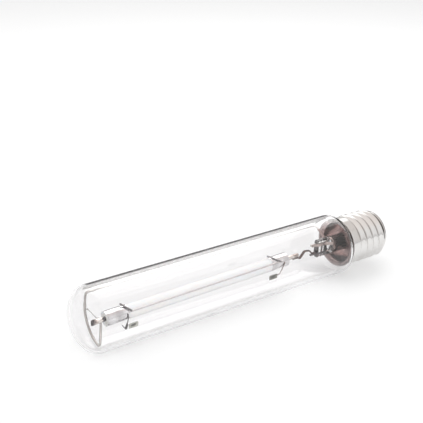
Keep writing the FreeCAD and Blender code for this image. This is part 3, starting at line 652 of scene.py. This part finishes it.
def stemStations():
    # outer skin: flat press with a soft front edge, swelling to the round tube, then the trumpet
    pressX, fullX, boreX = stem["pressX"], stem["pressFullX"], stem["boreX"]
    flareX, neckX, neck = stem["flareX"], stem["neckX"], bulb["neck"]
    x = np.concatenate([pressX + np.array([0.0, 0.05, 0.2, 0.5, 0.9]),
                        np.linspace(pressX + 1.6, fullX - 0.4, 14),
                        np.linspace(fullX, boreX + 0.4, 16),
                        np.linspace(boreX + 1.0, flareX - 0.4, 10), np.linspace(flareX, neckX, 22)])
    edge = domed(x, pressX, stem["softEdge"])
    toRound = smoothStep(fullX, boreX + 0.4, x)
    tube = opened(x, stem["tube"], stem["mouth"])
    ripple = stem["ripple"] * np.sin((x - pressX) * stem["rippleRate"]) * edge * (1.0 - toRound)
    width = stem["pressHalfWidth"] - stem["edgeCut"] * (1.0 - edge)
    depth = stem["pressHalfDepth"] * (0.4 + 0.6 * edge) + ripple
    width, depth, power = (flat * (1.0 - toRound) + full * toRound
                           for flat, full in ((width, tube), (depth, tube), (3.0, 2.0)))
    skin = np.stack([x, width, depth, power, 0.0 * x], axis=1)
    rim = [(rimX, neck, neck, 2.0, 0.0) for rimX in (neckX + 0.02, neckX + stem["rim"])]
    return np.vstack([skin, rim])


def boreStations():
    # inner skin from the rim back through the trumpet to the round closed end of the bore
    boreX, flareX, neckX, wall = stem["boreX"], stem["flareX"], stem["neckX"], stem["wall"]
    x = np.concatenate([[neckX + stem["rim"]], np.linspace(neckX, flareX, 18),
                        np.linspace(flareX - 1.0, boreX + 1.2, 8),
                        boreX + np.array([0.6, 0.2, 0.03, 0.0])])
    radius = opened(x, stem["tube"] - wall, stem["mouth"] - wall) * domed(x, boreX, stem["boreEnd"])
    return np.stack([x, radius, radius, 2.0 + 0.0 * x, 0.0 * x], axis=1)


stations = stemStations()
frontPole = stations[:1] * np.array([1.0, 0.0, 0.0, 1.0, 1.0])
makePiece("stem_press", [patch(lofted(np.vstack([frontPole, stations, boreStations()])))],
          stemFinish, "stem_glass", 50.0)

exhaust = {"startX": 225.0, "endX": 262.0, "radius": 3.2, "wall": 1.0}
tip = exhaust["endX"] - exhaust["radius"]
bore = exhaust["radius"] - exhaust["wall"]
makePiece("exhaust_stub", [spun(np.vstack([
    [(exhaust["startX"], exhaust["radius"])],
    arcPoints(tip, 0.0, exhaust["radius"], 90.0, 0.0, 14),
    arcPoints(tip, 0.0, bore, 0.0, 90.0, 12), [(exhaust["startX"], bore)]]), 64)],
    stemFinish, "exhaust_tube")

collar = {"startX": 224.6, "length": 4.0, "inner": 6.5, "thickness": 0.5}
ringX = np.array([0.0, 0.0, 0.125, 0.225, 0.325, 0.675, 0.775, 0.875, 1.0, 1.0])
ringR = np.array([0.0, 0.84, 1.0, 0.76, 1.0, 1.0, 0.76, 1.0, 0.84, 0.0])  # two pressed grooves
ring = np.stack([collar["startX"] + collar["length"] * ringX,
                 collar["inner"] + collar["thickness"] * ringR], axis=1)
makePiece("collar_band", [spun(ring, 96)], brownedFinish, "stem_collar")

lead = {"tipX": 206.5, "joinX": 221.0, "radius": 0.9, "offset": 4.1, "outerRadius": 0.4}
leadSection = roundSection(lead["radius"])
for z, name, replaced, finish in (
        (lead["offset"], "frame_side_lead", "frame_lead", nickelFinish),
        (-lead["offset"], "arc_side_lead", "arc_lead", darkFinish)):
    leadPath = [(x, 0.0, z) for x in np.linspace(lead["tipX"], lead["joinX"], 12)]
    makePiece(name, [carried(leadPath, leadSection)], finish, replaced)

# the two leads in the cap: the CAD node, the bend and the corners of each
outerLeads = {
    "side_lead_wire": ("side_lead", 3.0, [(221.0, 0, 4.1), (255.0, 0, 4.1), (255.0, 0, 17.33)]),
    "centre_lead_wire": ("centre_lead", 4.0, [(221.0, 0, -4.1), (260.0, 0, -4.1), (267.0, 0, 0),
                                              (284.1, 0, 0)])}
for name, (replaced, bend, corners) in outerLeads.items():
    outerLead = carried(roundedPath(corners, bend), roundSection(lead["outerRadius"], 14))
    makePiece(name, [outerLead], copperFinish, replaced)

ribbon = {"width": 2.4, "thickness": 0.4, "bend": 0.8,
          "corners": [(206.9, -1.12, 4.1), (210.4, -1.12, 4.1), (212.2, -3.05, 4.1),
                      (218.8, -3.05, 4.1), (224.0, -6.612, 4.1), (228.2, -6.612, 4.1)]}
ribbonPath = roundedPath(ribbon["corners"], ribbon["bend"], 0.15)
ribbonSection = stripSection(ribbon["width"], ribbon["thickness"])
makePiece("frame_strap", [carried(ribbonPath, ribbonSection, across=(0, 0, 1))], brownedFinish,
          "frame_ribbon")
print("stem made")


# the arc tube hangs a little out of line: it is turned by tilt about pivotX and lowered by drop
arc = {"radius": 5.25, "wall": 0.9, "startX": 24.5, "endX": 181.0, "plug": 4.0, "inset": 0.4,
       "niobium": 1.75, "foil": 0.2, "domeFoilX": 41.0, "capFoilX": 165.0, "touch": 0.02,
       "tilt": 0.868, "pivotX": 185.0, "drop": 0.6}
tilt = math.radians(arc["tilt"])
hoop = {"radius": 21.25, "startAngle": 60.0, "endAngle": 192.0, "startX": 20.6, "endX": 17.8,
        "entry": 8.0, "bend": 2.4, "wire": 0.9, "legTopX": 21.3, "legGap": 1.78, "rodEndX": 226.6,
        "radialStart": 7.03, "radialBend": 3.0}


def arcAxis(x):
    # height of the hung arc tube's own axis at x
    return -arc["drop"] - (arc["pivotX"] - x) * math.tan(tilt)


def hoopPoint(degrees):
    # a point round the axis, from the top by the far side, on the hoop's slightly tilted plane
    span = hoop["endAngle"] - hoop["startAngle"]
    share = (np.asarray(degrees, float) - hoop["startAngle"]) / span
    a = np.radians(degrees)
    return np.stack([hoop["startX"] + share * (hoop["endX"] - hoop["startX"]),
                     hoop["radius"] * np.sin(a), hoop["radius"] * np.cos(a)], axis=-1)


def frameRoute():
    # collar, radial piece, rod along the glass, part hoop, leg up to the niobium tube; the corners
    # lie where the hoop's end tangents reach
    enter, leave = hoop["startAngle"] + hoop["entry"], hoop["endAngle"] - hoop["entry"]
    ring = hoopPoint(np.linspace(enter, leave, 60))
    reach = hoop["radius"] * math.tan(math.radians(hoop["entry"]))
    first, last = ring[0] - ring[1], ring[-1] - ring[-2]
    topCorner = ring[0] + first / np.linalg.norm(first) * reach
    bottomCorner = ring[-1] + last / np.linalg.norm(last) * reach
    out = topCorner[1:] / np.linalg.norm(topCorner[1:])
    legX, legTop = hoop["legTopX"], arcAxis(hoop["legTopX"]) - hoop["legGap"]
    half = (0.5 * hoop["rodEndX"], topCorner[1], topCorner[2])
    radial = roundedPath([(hoop["rodEndX"], *(hoop["radialStart"] * out)),
                          (hoop["rodEndX"], *topCorner[1:]), half], hoop["radialBend"])
    bend = roundedPath([half, topCorner, ring[0]], hoop["bend"])
    leg = roundedPath([ring[-1], bottomCorner, (legX, 0, legTop - 3.0), (legX, 0, legTop)],
                      hoop["bend"])
    return np.vstack([radial, bend[1:], ring[1:-1], leg])


frameWire = carried(frameRoute(), roundSection(hoop["wire"], 28), lean=(1.0, 1.0, 0.0))
makePiece("frame_rod", [frameWire], frameFinish, "frame_wire")

jumper = {"radius": 0.35, "meetAngle": 101.0, "niobiumX": 18.4, "restX": 2.4, "restY": 0.5,
          "restZ": 0.866, "gap": 0.06, "hoopGap": 0.1}
rest = arc["niobium"] + jumper["radius"] + jumper["gap"]
start = np.array([jumper["niobiumX"] + jumper["restX"], jumper["restY"] * rest,
                  arcAxis(jumper["niobiumX"]) + jumper["restZ"] * rest])
knee = np.array([jumper["niobiumX"] + 0.4, start[1] + 0.1, start[2] + 0.1])
clear = hoop["wire"] + jumper["radius"] + jumper["hoopGap"]
meet = hoopPoint(jumper["meetAngle"]) + np.array([clear, 0, 0])
jumperPath = roundedPath([start, knee, meet], 0.8, 0.15)
makePiece("jumper_lead", [carried(jumperPath, roundSection(jumper["radius"], 14), lean=(0, 0, 1))],
          nickelFinish, "jumper_wire")


def hung(made):
    # a patch turned by the tilt about the pivot and lowered by the drop
    points, quads = np.asarray(made[0], float), made[1]
    dx, z = points[..., 0] - arc["pivotX"], points[..., 2]
    turned = np.stack([arc["pivotX"] + dx * math.cos(tilt) - z * math.sin(tilt), points[..., 1],
                       dx * math.sin(tilt) + z * math.cos(tilt) - arc["drop"]], axis=-1)
    return turned, quads


bore = arc["radius"] - arc["wall"]
tubeOutline = eased([(arc["startX"], bore), (arc["startX"], arc["radius"]),
                     (arc["endX"], arc["radius"]), (arc["endX"], bore)], 0.2)
makePiece("arc_tube_wall", [hung(spun(finely(tubeOutline, 3.0), 96))], ceramicFinish,
          "arc_tube")

for name, replaced, start in (
        ("dome_plug", "dome_end_plug", arc["startX"] + arc["inset"]),
        ("cap_plug", "cap_end_plug", arc["endX"] - arc["inset"] - arc["plug"])):
    end = start + arc["plug"]
    ring = eased([(start, arc["niobium"]), (start, bore), (end, bore), (end, arc["niobium"])], 0.3)
    makePiece(name, [hung(spun(ring, 72))], plugFinish, replaced)

foil = {"dent": 0.03, "domeSeed": 0.4, "capSeed": 2.1}


def foilSleeve(startX, endX, seed):
    # thin sleeve whose skin stands off the tube by a few hundredths in soft dents, each the mean of
    # two waves sin(3a + 0.6x) and sin(5a - 0.45x)
    x = np.concatenate([[startX], np.linspace(startX, endX, 30), [endX]])[:, None]
    a = around(96)[None]
    dents = 0.5 * (np.sin(3.0 * a + 0.6 * x + seed) + np.sin(5.0 * a - 0.45 * x + 2.0 * seed))
    radius = arc["radius"] + arc["foil"] - foil["dent"] + foil["dent"] * dents
    radius[0], radius[-1] = arc["radius"], arc["radius"]
    skin = np.stack([x + 0.0 * a, radius * np.sin(a), radius * np.cos(a)], axis=-1)
    inside = skin[-2:0:-1].copy()
    inside[..., 1], inside[..., 2] = arc["radius"] * np.sin(a), arc["radius"] * np.cos(a)
    return patch(np.concatenate([skin, inside]), wrapRows=True)


for name, replaced, start, end, seed in (
        ("dome_foil", "dome_end_shield", arc["startX"], arc["domeFoilX"], foil["domeSeed"]),
        ("cap_foil", "cap_end_shield", arc["capFoilX"], arc["endX"], foil["capSeed"])):
    makePiece(name, [hung(foilSleeve(start, end, seed))], foilFinish, replaced)

pinch = {"startX": 14.2, "flatX": 16.2, "roundX": 18.8, "endX": 31.9, "high": 2.3, "thick": 0.55}


def pinchedTube():
    # round niobium tube whose outer end is squeezed flat and upright
    startX, roundX, endX = pinch["startX"], pinch["roundX"], pinch["endX"]
    x = np.concatenate([startX + np.array([0.0, 0.0, 0.2, 0.6]),
                        np.linspace(startX + 1.0, roundX, 12),
                        np.linspace(roundX + 0.8, endX, 10), [endX]])
    toRound = smoothStep(pinch["flatX"], roundX, x)
    high, thick, power = (flat * (1.0 - toRound) + full * toRound for flat, full in (
        (pinch["high"], arc["niobium"]), (pinch["thick"], arc["niobium"]), (2.6, 2.0)))
    closing = np.ones_like(x)
    closing[[0, 1, 2, -1]] = 0.0, 0.7, 0.93, 0.0
    return np.stack([x, high * closing, thick * closing, power, np.zeros_like(x)], axis=1)


makePiece("pinched_niobium", [hung(patch(lofted(pinchedTube(), 48)))], niobiumFinish,
          "dome_niobium_tube")

capTube = {"startX": 173.6, "endX": 193.6, "bore": 1.5, "end": 1.0}
start, end, inside = capTube["startX"], capTube["endX"], capTube["endX"] - capTube["end"]
outline = eased([(start, capTube["bore"]), (start, arc["niobium"]), (end, arc["niobium"]),
                 (end, 0.0), (inside, 0.0), (inside, capTube["bore"])], 0.3)
makePiece("cap_niobium", [hung(spun(finely(outline, 2.0), 48))], niobiumFinish,
          "cap_niobium_tube")

electrode = {"rod": 0.6, "rodX": (-2.0, 9.0), "foot": 1.48, "footX": (-2.0, -0.8), "wire": 0.44,
             "coil": 1.02, "turns": 4.0, "coilStart": 3.6, "coilLength": 4.3}


def wound(baseX, direction):
    # tungsten rod with a foot in the tube and a close coil round its tip: x along the rod and
    # (sin, cos) of the turn
    rod = [(baseX + direction * t, 0.0, 0.0) for t in np.linspace(*electrode["rodX"], 12)]
    foot = [(baseX + direction * t, 0.0, 0.0) for t in np.linspace(*electrode["footX"], 4)]
    t = np.linspace(0.0, 1.0, 150)
    turn = 2.0 * np.pi * electrode["turns"] * t
    x = baseX + direction * (electrode["coilStart"] + electrode["coilLength"] * t)
    coil = np.stack([x, electrode["coil"] * np.sin(turn), electrode["coil"] * np.cos(turn)], axis=1)
    return [hung(carried(rod, roundSection(electrode["rod"], 16))),
            hung(carried(foot, roundSection(electrode["foot"], 24))),
            hung(carried(coil, roundSection(electrode["wire"], 12), lean=(1, 0, 0)))]


makePiece("dome_coil", wound(pinch["endX"], 1), darkFinish, "dome_electrode")
makePiece("cap_coil", wound(capTube["startX"], -1), darkFinish, "cap_electrode")

shieldRadius = arc["radius"] + arc["foil"]


def roundTube(degrees, reach):
    # (y, z) = reach (cos a, sin a), the angle going from the far side over the top
    return reach * math.cos(math.radians(degrees)), reach * math.sin(math.radians(degrees))


antenna = {"radius": 0.6, "angle": 153.0, "startX": 40.2, "endX": 174.0}
y, z = roundTube(antenna["angle"], shieldRadius + antenna["radius"] + arc["touch"])
antennaPath = [(x, y, z) for x in np.linspace(antenna["startX"], antenna["endX"], 40)]
makePiece("antenna_rod", [hung(carried(antennaPath, roundSection(antenna["radius"], 20)))],
          antennaFinish, "antenna_wire")
print("arc tube made")


bars = {"angle": 117.0, "reach": 4.2, "domeX": 39.4, "domeSlant": 5.5, "domeRadius": 0.65,
        "capX": 168.0, "capSlant": 8.2, "capRadius": 0.48}
for end in ("dome", "cap"):
    radius, a = bars[end + "Radius"], math.radians(bars["angle"])
    y, z = roundTube(bars["angle"], shieldRadius + radius + arc["touch"])
    middle = np.array([bars[end + "X"], y, z])
    along = np.array([0.5 * bars[end + "Slant"], -math.sin(a) * bars["reach"],
                      math.cos(a) * bars["reach"]])
    barPath = middle + along * np.linspace(-1.0, 1.0, 14)[:, None]
    makePiece(end + "_bar", [hung(carried(barPath, roundSection(radius, 20)))], barFinish,
              end + "_cross_bar")

getter = {"length": 7.4, "height": 3.8, "thickness": 0.5, "corner": 0.6, "trough": (2.4, 1.1),
          "depth": 0.6, "bulge": 0.4, "sunkTo": (0.78, 1.12), "bulgeTo": (1.0, 1.3),
          "softEdge": 0.12, "wireRadius": 0.35, "gap": 0.05, "dome": (39.0, -9.7),
          "cap": (160.9, -9.6)}
getterY = -(shieldRadius + getter["wireRadius"] + getter["gap"])


def getterPlate(startX, startZ):
    # a plate with rounded corners whose front sinks by depth inside the oval (x / a)^2 + (z / b)^2
    # = 1 and whose back bulges with it; each row is one loop across the plate, front upwards and
    # back downwards
    half = 0.5 * getter["length"]
    u = half * np.sin(np.linspace(-0.5, 0.5, 61) * np.pi)
    v = np.sin(np.linspace(-0.5, 0.5, 33) * np.pi)
    fromEnd = np.clip(half - np.abs(u), 0.0, getter["corner"])
    cut = getter["corner"] - np.sqrt(getter["corner"] ** 2 - (getter["corner"] - fromEnd) ** 2)
    tall = 0.5 * getter["height"] - cut
    x = startX + half + np.repeat(u[:, None], 33, axis=1)
    z = tall[:, None] * v[None]
    away = np.sqrt((u[:, None] / getter["trough"][0]) ** 2 + (z / getter["trough"][1]) ** 2)
    sunk = getter["depth"] * (1.0 - smoothStep(*getter["sunkTo"], away))
    swell = getter["bulge"] * (1.0 - smoothStep(*getter["bulgeTo"], away))
    frontY = getterY - getter["wireRadius"] - getter["thickness"]
    soft = np.abs(v[None]) ** 12 + (np.abs(u[:, None]) / half) ** 30
    soft = getter["softEdge"] * soft.clip(0.0, 1.0)
    centreZ = startZ + 0.5 * getter["height"]
    front = np.stack([x, frontY + sunk + soft, centreZ + z], axis=-1)
    back = np.stack([x, frontY + getter["thickness"] + swell - soft, centreZ + z], axis=-1)
    loop = np.concatenate([front, back[:, ::-1]], axis=1)
    middles = np.repeat(loop[[0, -1]].mean(axis=1, keepdims=True), loop.shape[1], axis=1)
    return patch(np.concatenate([middles[:1], loop, middles[1:]]))


makePiece("dome_getter_sheet", [hung(getterPlate(*getter["dome"]))], getterFinish,
          "dome_getter_plate")
makePiece("cap_getter_sheet", [hung(getterPlate(*getter["cap"]))], darkGetterFinish,
          "cap_getter_plate")

# the getters' wires: (dx, z) corners from startX, in the plane of the wires
clip = {"startX": 39.3, "wire": [(0, 1.8), (0, -1.5), (-1.1, -6.2)], "bend": 2.0, "foldBend": 0.5,
        "fold": [(-4.7, -6.0), (-2.5, -9.6), (-1.0, -5.9)], "width": 2.2, "thickness": 0.6}
hook = {"startX": 168.2, "wire": [(8.1, 1.4), (7.0, -1.0), (3.1, -7.2), (0, -7.8)], "bend": 1.5}


def getterWire(startX, corners, bend, section, step=0.15, across=None):
    # the section carried along the rounded route through the corners
    route = roundedPath([(startX + dx, getterY, z) for dx, z in corners], bend, step)
    return hung(carried(route, section, across=across))


wireSection = roundSection(getter["wireRadius"], 14)
foldSection = stripSection(clip["width"], clip["thickness"])
makePiece("dome_getter_clip", [
    getterWire(clip["startX"], clip["wire"], clip["bend"], wireSection),
    getterWire(clip["startX"], clip["fold"], clip["foldBend"], foldSection, 0.08, (0, 1, 0))],
    clipFinish, "dome_getter_wire")
makePiece("cap_getter_hook", [getterWire(hook["startX"], hook["wire"], hook["bend"], wireSection)],
          brownedFinish, "cap_getter_wire")

# from under the niobium tube it sags, rises to a crest and dips onto the arc tube's lead; the sag
# is given from the tube's end, the crest and the dip from the lead's tip
strap = {"width": 2.4, "thickness": 0.8, "bend": 0.9, "overlap": 5.2, "tubeGap": 0.23,
         "leadGap": 0.22, "sag": (2.0, -4.0), "crest": (-6.1, 1.0), "dip": (-1.1, 0.3)}
tubeEnd, leadTip = capTube["endX"], lead["tipX"]
startX = tubeEnd - strap["overlap"]
tubeZ = arcAxis(startX) - arc["niobium"] - strap["tubeGap"]
leadZ = -lead["offset"] + lead["radius"] + strap["leadGap"]
strapPath = roundedPath([(startX, 0, tubeZ), (tubeEnd - 0.6, 0, tubeZ),
                         (tubeEnd + strap["sag"][0], 0, strap["sag"][1]),
                         (leadTip + strap["crest"][0], 0, strap["crest"][1]),
                         (leadTip + strap["dip"][0], 0, strap["dip"][1]),
                         (leadTip + 1.5, 0, leadZ), (stem["pressX"] - 0.6, 0, leadZ)],
                        strap["bend"], 0.15)
strapSection = stripSection(strap["width"], strap["thickness"])
makePiece("cap_end_ribbon", [carried(strapPath, strapSection, across=(0, 1, 0))], strapFinish,
          "cap_end_strap")
print("getters and straps made")


cap = {"rimX": 235.7, "skirt": 19.7, "skirtEndX": 242.7, "barrelX": 244.5, "minor": 17.95,
       "height": 1.8, "pitch": 6.35, "startX": 246.425, "turns": 3.6, "startAngle": 30.0,
       "sharpness": 0.85, "shoulderX": 271.6, "turnRadius": 1.6, "lip": 13.2, "wall": 0.6,
       "segments": 288}


def threadHeight(x, a):
    # nearest turn of the helix x = startX + pitch (k + a / 2 pi), raised as a rounded cosine
    # ridge and faded out past both ends of the thread
    a = np.mod(a - math.radians(cap["startAngle"]), 2.0 * np.pi)
    turn = (x - cap["startX"]) / cap["pitch"] - a / (2.0 * np.pi)
    nearest = np.clip(np.round(turn), 0, int(cap["turns"]))
    away = np.clip(2.0 * np.abs(turn - nearest), 0.0, 1.0)
    done = nearest + a / (2.0 * np.pi)
    fadeIn = smoothStep(-0.02, 0.05, done)
    fadeOut = 1.0 - smoothStep(cap["turns"] - 0.05, cap["turns"] + 0.02, done)
    ridge = (0.5 + 0.5 * np.cos(np.pi * away)) ** cap["sharpness"]
    return cap["height"] * ridge * fadeIn * fadeOut


def shellGrid():
    # rows run along the outside from rim to lip and back along the inside, each column an angle;
    # the radius is the larger of the plain outline and the barrel with its ridge
    a = around(cap["segments"])[None]
    zero = 0.0 * a
    rimX, skirtEndX, barrelX = cap["rimX"], cap["skirtEndX"] - 0.3, cap["barrelX"] + 0.4
    skirt, minor, bend, wall = cap["skirt"], cap["minor"], cap["turnRadius"], cap["wall"]
    endX = cap["shoulderX"] + bend
    skirtX = np.concatenate([rimX + np.array([0.0, 0.04, 0.14, 0.6]),
                             np.linspace(rimX + 1.6, skirtEndX, 5)])
    skirtR = skirt - np.array([0.2, 0.06, 0.0, 0.0, 0.0, 0.0, 0.0, 0.0, 0.0])
    slopeX = np.linspace(skirtEndX + 0.14, barrelX, 17)
    slopeR = skirt - (skirt - minor) * smoothStep(skirtEndX, barrelX, slopeX)
    runX = np.linspace(barrelX + 0.2, cap["shoulderX"], 132)
    turn = arcPoints(cap["shoulderX"], minor - bend, bend, 88.0, 0.0, 14)
    lipX = endX - np.array([0.0, 0.0, 0.1, 0.5, 0.6])
    lipR = cap["lip"] + np.array([1.2, 0.12, 0.0, 0.0, 0.12])
    x = np.concatenate([skirtX, slopeX, runX, turn[:, 0], lipX])[:, None]
    r = np.concatenate([skirtR, slopeR, np.full_like(runX, minor), turn[:, 1], lipR])[:, None]
    threaded = (x > cap["skirtEndX"]) & (x <= cap["shoulderX"])
    outside = np.where(threaded, np.maximum(r, minor + threadHeight(x, a)), r + zero)
    back = slice(len(skirtX) + len(slopeX) + len(runX) - 1, 0, -2)
    xs = np.vstack([x + zero, zero + endX - wall, x[back] + zero, zero + rimX])
    rs = np.vstack([outside, zero + minor - bend, outside[back] - wall, zero + skirt - wall])
    return np.stack([xs, rs * np.cos(a), rs * np.sin(a)], axis=-1)


makePiece("screw_shell", [patch(shellGrid(), wrapRows=True)], shellFinish,
          "cap_shell", 45.0)

# pieces turned round the axis: a closed (x, r) outline, how far and in how many points its corners
# are cut, and the greatest step along it
cement = {"outline": [(237.2, 16.8), (237.2, 19.1), (242.5, 19.1), (242.5, 16.8)],
          "cut": 0.3, "points": 4, "step": 0.5}
insulator = {"outline": [(268.4, 1.2), (268.4, 16.2), (272.6, 16.2), (272.6, 13.2), (273.7, 13.2),
                         (278.6, 9.0), (280.6, 8.4), (280.6, 7.6), (279.8, 7.6), (279.8, 1.2)],
             "cut": 0.35, "points": 6, "step": 1.0}
contact = {"outline": [(279.8, 1.6), (279.8, 7.6), (281.2, 7.6), (281.98, 5.32), (282.5, 4.2),
                       (282.5, 1.6)], "cut": 0.3, "points": 6, "step": 0.6}
for name, part, finish, slotName, replaced in (
        ("cement_ring", cement, cementFinish, "cement", "capping_cement"),
        ("black_insulator", insulator, blackFinish, "black_glass", "cap_insulator"),
        ("contact_disc", contact, brassFinish, "contact_brass", "centre_contact")):
    outline = finely(eased(part["outline"], part["cut"], part["points"]), part["step"])
    makePiece(name, [spun(outline)], finish, replaced)

bead = {"plugX": 279.8, "faceX": 282.5, "plug": 1.5, "height": 2.5, "flat": 1.2, "spread": 2.3,
        "slowWaver": 0.04, "quickWaver": 0.02}


def solderBead():
    # flat-tipped bead, (height sin t, flat + spread cos t), that wavers a little round the axis,
    # on a plug through the disc
    plugX, faceX = bead["plugX"], bead["faceX"]
    t = np.radians(np.linspace(0.0, 90.0, 14))
    dome = np.stack([faceX + bead["height"] * np.sin(t), bead["flat"] + bead["spread"] * np.cos(t)],
                    axis=1)
    profile = np.vstack([[(plugX, 0.0), (plugX, bead["plug"]), (faceX, bead["plug"])], dome,
                         [(faceX + bead["height"], 0.0)]])
    a = around(64)[None]
    x, r = profile[:, :1] + 0.0 * a, profile[:, 1:]
    waver = bead["slowWaver"] * np.sin(3.0 * a + 1.0) * smoothStep(faceX, faceX + 0.9, x)
    waver = 1.0 + waver + bead["quickWaver"] * np.sin(7.0 * a)
    return patch(np.stack([x, r * waver * np.cos(a), r * waver * np.sin(a)], axis=-1))


makePiece("solder_bead", [solderBead()], solderFinish, "contact_solder")
print("cap made")


# the studio; its wall's colours rise with the direction of the ray, from level to straight up
studio = {"floorZ": -0.0004, "floorHalf": 5.0, "floorShade": 0.80, "floorGlow": 0.35,
          "floorPaint": 0.72, "worldAmbient": 0.67,
          "wall": [(0.0, (0.70, 0.69, 0.69)), (0.10, (0.76, 0.75, 0.75)),
                   (0.22, (0.93, 0.92, 0.92)), (0.55, (0.96, 0.95, 0.945)),
                   (0.85, (0.97, 0.91, 0.88))], "warmWall": (0.66, 0.605, 0.57)}


def studioFloor():
    # seen directly, mirrored or through glass the floor is part glow and part shaded, so that it
    # comes out white and keeps the soft shadow; light that bounces off it sees plain pale paint
    f = Finish("studio_floor")
    seen = (f.ray("Camera") + f.ray("Glossy") + f.ray("Transmission")).math("MINIMUM", 1.0)
    shade, paler = (studio["floorShade"],) * 3, (studio["floorShade"] + 0.02,) * 3
    paint = f.surface({"Base Color": f.blend(f.noise(f.position(), 40.0, 2.0), shade, paler),
                       "Roughness": 0.85, "Specular IOR Level": 0.2})
    glow = f.node("Emission", None, {"Color": (1.0, 1.0, 1.0), "Strength": studio["floorGlow"]})
    pale = f.surface({"Base Color": (studio["floorPaint"],) * 3, "Roughness": 0.9,
                      "Specular IOR Level": 0.1})
    bright = f.node("AddShader", None, {0: pale, 1: glow})
    return f.done(f.node("MixShader", None, {0: seen, 1: paint, 2: bright}))


def flatPanel(name, centre, across, up, finish):
    # a rectangle given by its centre and two half sides
    c, a, b = (np.asarray(v, float) for v in (centre, across, up))
    mesh = bpy.data.meshes.new(name)
    mesh.from_pydata([tuple(c - a - b), tuple(c + a - b), tuple(c + a + b), tuple(c - a + b)], [],
                     [(0, 1, 2, 3)])
    mesh.materials.append(finish)
    panel = linked(name, mesh)
    return panel


flatPanel("floor", (0, 0, studio["floorZ"]), (studio["floorHalf"], 0, 0),
          (0, studio["floorHalf"], 0), studioFloor())
# dark cards that only metal and glass see: name, centre, half sides, the two tones of their felt
cards = (
    ("end_card", (0.190, 0.02, 0.021), (-0.01, 0.06, 0), (0, 0, 0.022),
     ("black_felt", (0.006, 0.006, 0.006), (0.003, 0.003, 0.003))),
    ("rear_card", (0.0435, 0.108, 0.0265), (0.1315, 0, 0), (0, 0, 0.0265),
     ("grey_felt", (0.24, 0.23, 0.235), (0.19, 0.18, 0.185))))
for name, centre, across, up, felt in cards:
    card = flatPanel(name, centre, across, up, matte(*felt, 60.0, 0.0002, 0.9))
    card.visible_camera = card.visible_diffuse = card.visible_shadow = False

world = bpy.data.worlds.new("studio_world")
bpy.context.scene.world = world
world.use_nodes = True
w = Finish(None, world.node_tree)


def towards(direction, low, high):
    # 0 to 1 as a ray's own direction turns towards this one: above() of their dot product
    return w.node("VectorMath", {"operation": "DOT_PRODUCT"}, {
        0: w.node("TexCoord", output="Generated"), 1: direction}, output="Value").above(low, high)


# what stands out from the walls: a direction, where it begins and where it is full, its colour
sights = {"doorway": ((0.92, 0.38, 0.10), 0.885, 0.93, (0.04, 0.035, 0.035)),
          "strip": ((0.30, 0.72, 0.63), 0.87, 0.94, (1.75, 1.75, 1.73)),
          "screen": ((0.93, -0.24, 0.27), 0.90, 0.97, (0.12, 0.11, 0.11))}
bounced = w.node("LightPath", output="Diffuse Depth").math("MINIMUM", 1.0)
mirrored = (w.ray("Glossy") + w.ray("Transmission")).math("MINIMUM", 1.0) * (1.0 - bounced)
# reflections and glass see white walls, warm at the far end with a dark doorway in it, a bright
# strip high at the back and a dark screen at the cap's end; lit surfaces see even light, and the
# camera sees white
height = towards((0.0, 0.0, 1.0), 0.0, 1.0)
wall = w.node("ValToRGB", {"stops": studio["wall"]}, {0: height})
warm = towards((1.0, 0.0, 0.0), 0.54, 0.78) * height.above(0.05, 0.2)
wall = w.blend(warm, wall, studio["warmWall"])
for direction, low, high, colour in sights.values():
    wall = w.blend(towards(direction, low, high), wall, colour)
ambient, room, white = (w.node("Background", None, {"Color": colour, "Strength": strength})
                        for colour, strength in (((1.0, 1.0, 1.0), studio["worldAmbient"]),
                                                 (wall, 1.0), ((1.0, 1.0, 1.0), 1.0)))
mixed = w.node("MixShader", None, {0: mirrored, 1: ambient, 2: room})
w.done(w.node("MixShader", None, {0: w.ray("Camera"), 1: mixed, 2: white}))


def softBox(name, position, target, size, power):
    # square area lamp pointed at the target; metal and glass mirror the room in its place
    lamp = bpy.data.lights.new(name, "AREA")
    lamp.shape, lamp.size, lamp.energy = "SQUARE", size, power
    box = linked(name, lamp)
    turn = (Vector(target) - Vector(position)).to_track_quat("-Z", "Y").to_matrix().to_4x4()
    box.visible_glossy = False
    box.matrix_world = Matrix.Translation(position) @ turn


lamps = {"key_box": {"position": (0.42, 0.48, 0.95), "size": 1.0, "power": 4.9},
         "fill_box": {"position": (-0.35, -1.0, 0.30), "size": 0.9, "power": 3.8}}
for name, lamp in lamps.items():
    softBox(name, lamp["position"], (0.0, 0.0, 0.02), lamp["size"], lamp["power"])

# the camera where the photo was taken from, with its own three axes
view = {"eye": (-0.343404, -0.4511956, 0.3134681), "right": (0.8241628, -0.5662798, 0.0091047),
        "up": (0.2149869, 0.3276835, 0.9200023), "back": (-0.5239621, -0.7562743, 0.3918073),
        "focalPixels": 846.955, "imagePixels": 423, "sensor": 36.0}
cameraData = bpy.data.cameras.new("camera")
cameraData.sensor_fit = "HORIZONTAL"
cameraData.sensor_width = view["sensor"]
cameraData.lens = view["sensor"] * view["focalPixels"] / view["imagePixels"]
cameraData.clip_start, cameraData.clip_end = 0.01, 30.0
camera = linked("camera", cameraData)
turned = Matrix((view["right"], view["up"], view["back"])).transposed().to_4x4()
camera.matrix_world = Matrix.Translation(view["eye"]) @ turned
bpy.context.scene.camera = camera
bpy.context.scene.view_settings.view_transform = "Standard"
